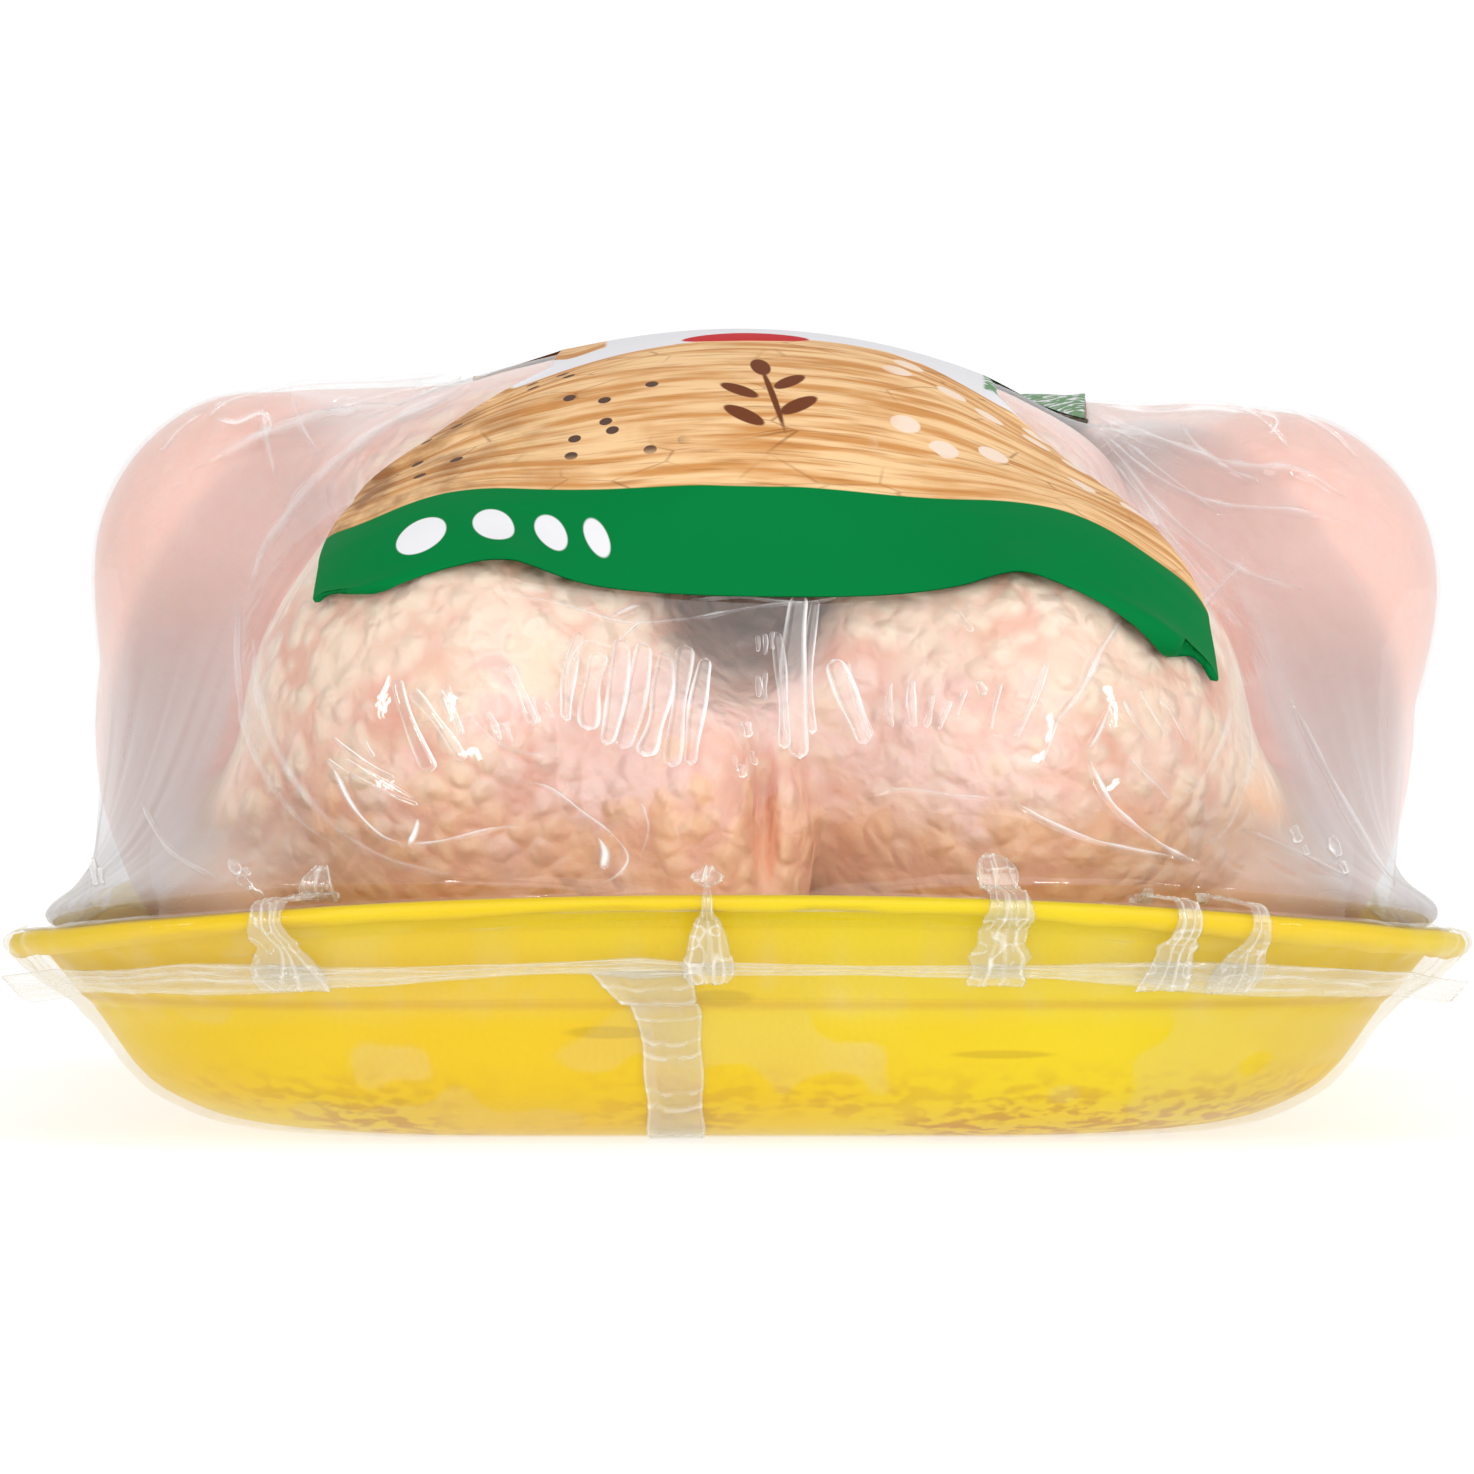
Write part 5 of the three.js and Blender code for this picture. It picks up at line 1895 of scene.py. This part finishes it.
@dataclass
class Gathers:
    """Tufts of gathered film over the lip: fanned out above it, pinched, and wide at the seal."""

    tray: Tray
    film: Film
    places: list[Mark] = field(default_factory=lambda: [
        (-59.3, 4.6, 2.6, 2.2, 4.0), (-3.8, 3.4, 2.3, 0.5, 2.9), (34.5, 5.0, 2.9, 2.4, 3.7),
        (57.0, 3.0, 1.8, 1.2, 3.0), (66.0, 2.0, 1.4, 1.0, 3.2),
    ])
    below: list[Pair] = field(default_factory=lambda: [
        (0.99, 28.9), (1.003, 28.5), (1.011, 26.6), (1.0, 24.6), (0.975, 22.6), (0.947, 21.0),
        (0.93, 19.6),
    ])
    stations: int = 150
    lip: Pair = (1.0, 27.0)

    def one(self, number: int, end: End) -> Object:
        """One tuft, carried down the film, over the lip and down to the seal.

        Args:
            number: which of the places.
            end: which end of the pack.

        Returns:
            The dressed tuft.
        """
        x, rise, top, pinch, foot = self.places[number]
        turn = self.tray.turn_at(x * math.cos(end.value), end, *self.lip)
        column = int(np.argmin(np.abs(np.angle(np.exp(1j * (self.film.turn - turn))))))
        shell = np.array(self.film.centre) + self.film.ways[column] * self.film.reach[column][:, None]
        climb = shell[:, 2] - shell[0, 2]
        above = shell[(climb < rise) & (climb > 0.6)][::-1]
        stations = np.array(self.below)
        lower = self.tray.point(turn, stations[:, 0], stations[:, 1])
        raw = np.concatenate([above, lower])
        gone = travelled(raw)
        t = np.linspace(0, 1, self.stations)
        middle = between_points(raw, gone, t * gone[-1])
        for _ in range(6):
            middle[1:-1] = (middle[:-2] + 2 * middle[1:-1] + middle[2:]) / 4
        down = unit(np.gradient(middle, axis=0))
        plan = self.tray.chord(turn, 0.02, self.lip)
        across = np.broadcast_to(unit(plan * np.array([1, 1, 0])), middle.shape)
        out = unit(np.cross(down, across))
        neck = gone[len(above)] / gone[-1]
        upper = smooth_step(t, neck, 0.0) ** 0.7
        lower_share = smooth_step(t, neck, 0.95) ** 0.8
        half = pinch + (top - pinch) * upper * (t < neck) + (foot - pinch) * lower_share * (t >= neck)
        half = half * np.clip(t * 9 + 0.3, 0, 1)
        w = np.linspace(-1, 1, 30)[None, :]
        long = (t * gone[-1])[:, None]
        half = half * (1 + 0.22 * line_noise(long[:, 0], 13.0 * number, 1.8, 262))
        rays = ridges(long, w, [-0.9, -0.3, 0.1, 0.86], 0.07, 0.42, 200 + 9 * number)
        place = ribbon_places(long, w, half * 1.5, 40.0 * number)
        cross = np.exp(-((soft_noise(place, 1.7, 260) / 0.09) ** 2))
        ragged = smooth_step(t, 0.16, 0.0)[:, None] * np.clip(soft_noise(place, 0.8, 261) + 0.4, 0, 1)
        relief = 0.24 * rays + 0.2 * cross + 0.25 * ragged
        # the ridges are painted whiter: crumpled film's whitening, and painted highlights
        milk_and_painted_light = 0.62 * rays + 0.5 * cross + 0.3 * ragged * rays
        middle = middle + out * 0.55
        name = f"gather_{'front' if end is End.FRONT else 'back'}_{number}"
        return ribbon(name, (middle, across, out), half, 0.1, relief, milk_and_painted_light)

    def build(self) -> list[Object]:
        """Makes the tufts at both ends."""
        return [self.one(number, end) for end in End for number in range(len(self.places))]


# Label


@dataclass
class Label:
    """Paper label with a narrow waist, bent over the film along a line from the neck end."""

    film: Film
    middle: float = 2.5
    near_edge: float = -100.8
    length: float = 182.0
    setback: float = 8.5
    setback_power: float = 14.0
    setback_share: float = 0.3
    left: tuple[Pair, ...] = (
        (0, 57.5), (17, 57), (46, 53), (60, 27), (78, 26), (102, 40), (182, 41),
    )
    right: tuple[Pair, ...] = (
        (0, 60), (17, 59), (42, 48), (60, 32), (78, 31), (102, 46), (182, 48),
    )
    corner: float = 3.0
    columns: int = 230
    rows: int = 350
    clearance: float = 0.25
    thickness: float = 0.2
    stiffness: int = 60
    lifts: tuple[Triple, ...] = (
        (-28.0, 6.0, 1.5), (37.0, 4.5, 1.1), (55.0, 5.0, 1.3), (5.0, 16.0, 0.5),
    )

    def half(self, side: tuple[Pair, ...], along: Array) -> Array:
        """Half width of one side: eased from each listed place along the label to the next.

        Args:
            side: places along the label and the half widths there.
            along: distances from the near edge.

        Returns:
            The half widths, drawn in by a quarter circle at the corners.
        """
        listed = np.array(side, float)
        k = np.clip(np.searchsorted(listed[:, 0], along), 1, len(listed) - 1)
        low, high = listed[k - 1], listed[k]
        t = np.clip((along - low[..., 0]) / (high[..., 0] - low[..., 0]), 0, 1)
        wide = low[..., 1] + (high[..., 1] - low[..., 1]) * t * t * (3 - 2 * t)
        edge = np.clip(np.minimum(along, self.length - along) / self.corner, 0, 1)
        return wide - self.corner * (1 - np.sqrt(edge * (2 - edge)))

    def spine(self) -> Array:
        """Places along the middle line, evenly spaced over the film from the near edge.

        Returns:
            The places, one for each row.
        """
        y = np.arange(self.near_edge, self.near_edge + self.length, 0.25)
        z = self.film.height_over(np.full_like(y, self.middle), y)
        gone = travelled(np.stack([y, z], axis=-1))
        return np.interp(np.linspace(0, self.length, self.rows), gone, y)

    def drape(self) -> tuple[Array, Array]:
        """Lays the label: its places in plan, then heights that bridge what paper can't follow.

        Each height goes to the mean of its neighbours, but never below the film, so hollows are
        bridged as stiff paper does.

        Returns:
            Points, shape (columns, rows, 3), and flattened places in millimetres.
        """
        share = np.linspace(0, 1, self.rows)[None, :]
        across = np.linspace(-1, 1, self.columns)[:, None]
        along = share * self.length
        width = np.where(across < 0, self.half(self.left, along), self.half(self.right, along))
        x = self.middle + across * width
        nearness = np.clip(1 - share / self.setback_share, 0, None)
        y = self.spine()[None, :] + self.setback * np.abs(across) ** self.setback_power * nearness
        base = self.film.height_over(x, y)
        z = base.copy()
        for _ in range(self.stiffness):
            mean = z.copy()
            mean[1:-1, 1:-1] = (z[:-2, 1:-1] + z[2:, 1:-1] + z[1:-1, :-2] + z[1:-1, 2:]) / 4
            z = np.maximum(base, mean)
        points = np.stack([x, y, z], axis=-1)
        far = np.linalg.norm(np.diff(points, axis=1), axis=-1)
        far = np.concatenate([np.zeros((self.columns, 1)), np.cumsum(far, axis=1)], axis=1)
        wide = np.linalg.norm(np.diff(points, axis=0), axis=-1)
        wide = np.concatenate([np.zeros((1, self.rows)), np.cumsum(wide, axis=0)])
        flat = np.stack([wide - wide[self.columns // 2], far], axis=-1)
        return points, flat

    def build(self) -> Object:
        """Makes the label as a thin sheet: its upper face and its lower face.

        Returns:
            The dressed label.
        """
        points, flat = self.drape()
        up = grid_normals(points, closed=False)
        edge = 1 - np.abs(np.linspace(-1, 1, self.columns))[:, None]
        curl = 0.6 * smooth_step(edge, 0.06, 0.0) * np.clip(soft_noise(points, 18.0, 90) + 0.3, 0, 1)
        front = smooth_step(flat[..., 1], 9.0, 0.0)
        lift = 0 * front
        for place, reach, height in self.lifts:
            lift = lift + height * front * np.exp(-(((points[..., 0] - place) / reach) ** 2))
        foot = points + up * (self.clearance + curl + lift)[..., None]
        top = foot + up * self.thickness
        piece = grid_mesh("paper_label", top, closed=False, flat=flat * MM)
        under = grid_mesh("label_back", foot[::-1], closed=False, flat=flat[::-1] * MM)
        piece.data.materials.append(PrintFinish().material())
        under.data.materials.append(piece.data.materials[0])
        piece = joined("paper_label", [piece, under])
        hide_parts("label")
        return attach(piece, ROOT)


# Studio


@dataclass(frozen=True)
class Studio:
    """Pale floor, white surroundings, soft lamps and the camera at the photograph's angle."""

    distance: float = 1.4
    elevation: float = 1.0
    aim: Triple = (0.0, 0.0, 0.0505)
    frame_pixels: float = 1474.0
    focal_pixels: float = 10026.0
    sensor: float = 36.0
    surround: Pair = (0.62, 1.02)
    surround_rise: Pair = (0.5, 0.9)
    floor_half: float = 3000.0
    floor_drop: float = 0.2
    suns: tuple[tuple[str, Triple, float, float], ...] = (
        ("high light", (0.3, -0.6, 0.75), 0.74, 50.0),
        ("front light", (0.1, -1.0, 0.02), 0.95, 60.0),
    )
    strips: tuple[tuple[str, Triple, Pair, float], ...] = (
        ("left strip", (-1.0, -0.7, 0.5), (0.05, 0.3), 0.9),
        ("right strip", (1.0, -0.7, 0.5), (0.05, 0.3), 0.9),
        ("near left strip", (-0.4, -1.2, 0.5), (0.05, 0.2), 0.8),
        ("near right strip", (0.45, -1.2, 0.42), (0.05, 0.2), 0.7),
    )

    def camera(self) -> None:
        """Makes the camera: on a circle about the aim, level but for its small elevation."""
        lens = bpy.data.cameras.new("camera")
        lens.sensor_width = self.sensor
        lens.lens = self.sensor * self.focal_pixels / self.frame_pixels
        lens.clip_start = 0.01
        eye = bpy.data.objects.new("camera", lens)
        bpy.context.scene.collection.objects.link(eye)
        rise = math.radians(self.elevation)
        aim = Vector(self.aim)
        eye.location = aim + Vector((0, -math.cos(rise), math.sin(rise))) * self.distance
        eye.rotation_euler = (aim - eye.location).to_track_quat("-Z", "Y").to_euler()
        bpy.context.scene.camera = eye

    def broad(self, name: str, toward: Triple, energy: float, spread: float) -> None:
        """Sets up one far and wide light.

        Args:
            name: the light's name.
            toward: direction from the object to the light.
            energy: its strength.
            spread: how wide it looks, in degrees.
        """
        sun = bpy.data.lights.new(name, "SUN")
        sun.energy = energy
        sun.angle = math.radians(spread)
        holder = bpy.data.objects.new(name, sun)
        bpy.context.scene.collection.objects.link(holder)
        holder.rotation_euler = Vector(toward).to_track_quat("Z", "Y").to_euler()

    def lamp(self, name: str, place: Triple, size: Pair, power: float) -> None:
        """Adds a soft lamp that faces the pack.

        Args:
            name: the lamp's name.
            place: where it hangs, in metres.
            size: its width and height.
            power: its power in watts.
        """
        light = bpy.data.lights.new(name, "AREA")
        light.shape = "RECTANGLE"
        light.size, light.size_y = size
        light.energy = power
        holder = bpy.data.objects.new(name, light)
        bpy.context.scene.collection.objects.link(holder)
        holder.location = place
        holder.rotation_euler = (Vector(self.aim) - Vector(place)).to_track_quat("-Z", "Y").to_euler()

    def build(self) -> None:
        """Makes the world, the floor, the lamps and the camera."""
        world = bpy.data.worlds.new("studio")
        world.use_nodes = True
        tree = world.node_tree
        place = tree.nodes.new("ShaderNodeTexCoord")
        split = tree.nodes.new("ShaderNodeSeparateXYZ")
        ramp = tree.nodes.new("ShaderNodeMapRange")
        ramp.interpolation_type = "SMOOTHSTEP"
        limits = (*self.surround_rise, *self.surround)
        for key, value in zip(("From Min", "From Max", "To Min", "To Max"), limits):
            ramp.inputs[key].default_value = value
        tree.links.new(place.outputs["Generated"], split.inputs[0])
        tree.links.new(split.outputs["Y"], ramp.inputs["Value"])
        back = tree.nodes["Background"]
        back.inputs["Color"].default_value = (1, 1, 1, 1)
        tree.links.new(ramp.outputs[0], back.inputs["Strength"])
        scene = bpy.context.scene
        scene.world = world
        scene.view_settings.view_transform = "Standard"
        side = np.linspace(-self.floor_half, self.floor_half, 13)
        x, y = np.meshgrid(side, side, indexing="ij")
        floor = grid_mesh("floor", np.stack([x, y, 0 * x - self.floor_drop], axis=-1), closed=False)
        floor.data.materials.append(FloorFinish().material())
        for sun in self.suns:
            self.broad(*sun)
        for strip in self.strips:
            self.lamp(*strip)
        self.camera()


def main() -> None:
    """Builds the pack piece by piece and writes down how large it came out."""
    logging.basicConfig(level=logging.INFO, format="%(name)s: %(message)s")
    tray = Tray()
    bird = Bird()
    film = Film(tray, bird)
    Studio().build()
    film.solve()
    pieces = [tray.build(), bird.build(), film.build(), Blisters(film).build(), Folds(film).build()]
    pieces += [FilmSkirt(tray).build(), *Seals(tray).build(), *Gathers(tray, film).build()]
    pieces.append(Label(film).build())
    for piece in pieces:
        log.info("%s: %d faces", piece.name, len(piece.data.polygons))
    bpy.context.view_layer.update()


if __name__ == "__main__":
    main()
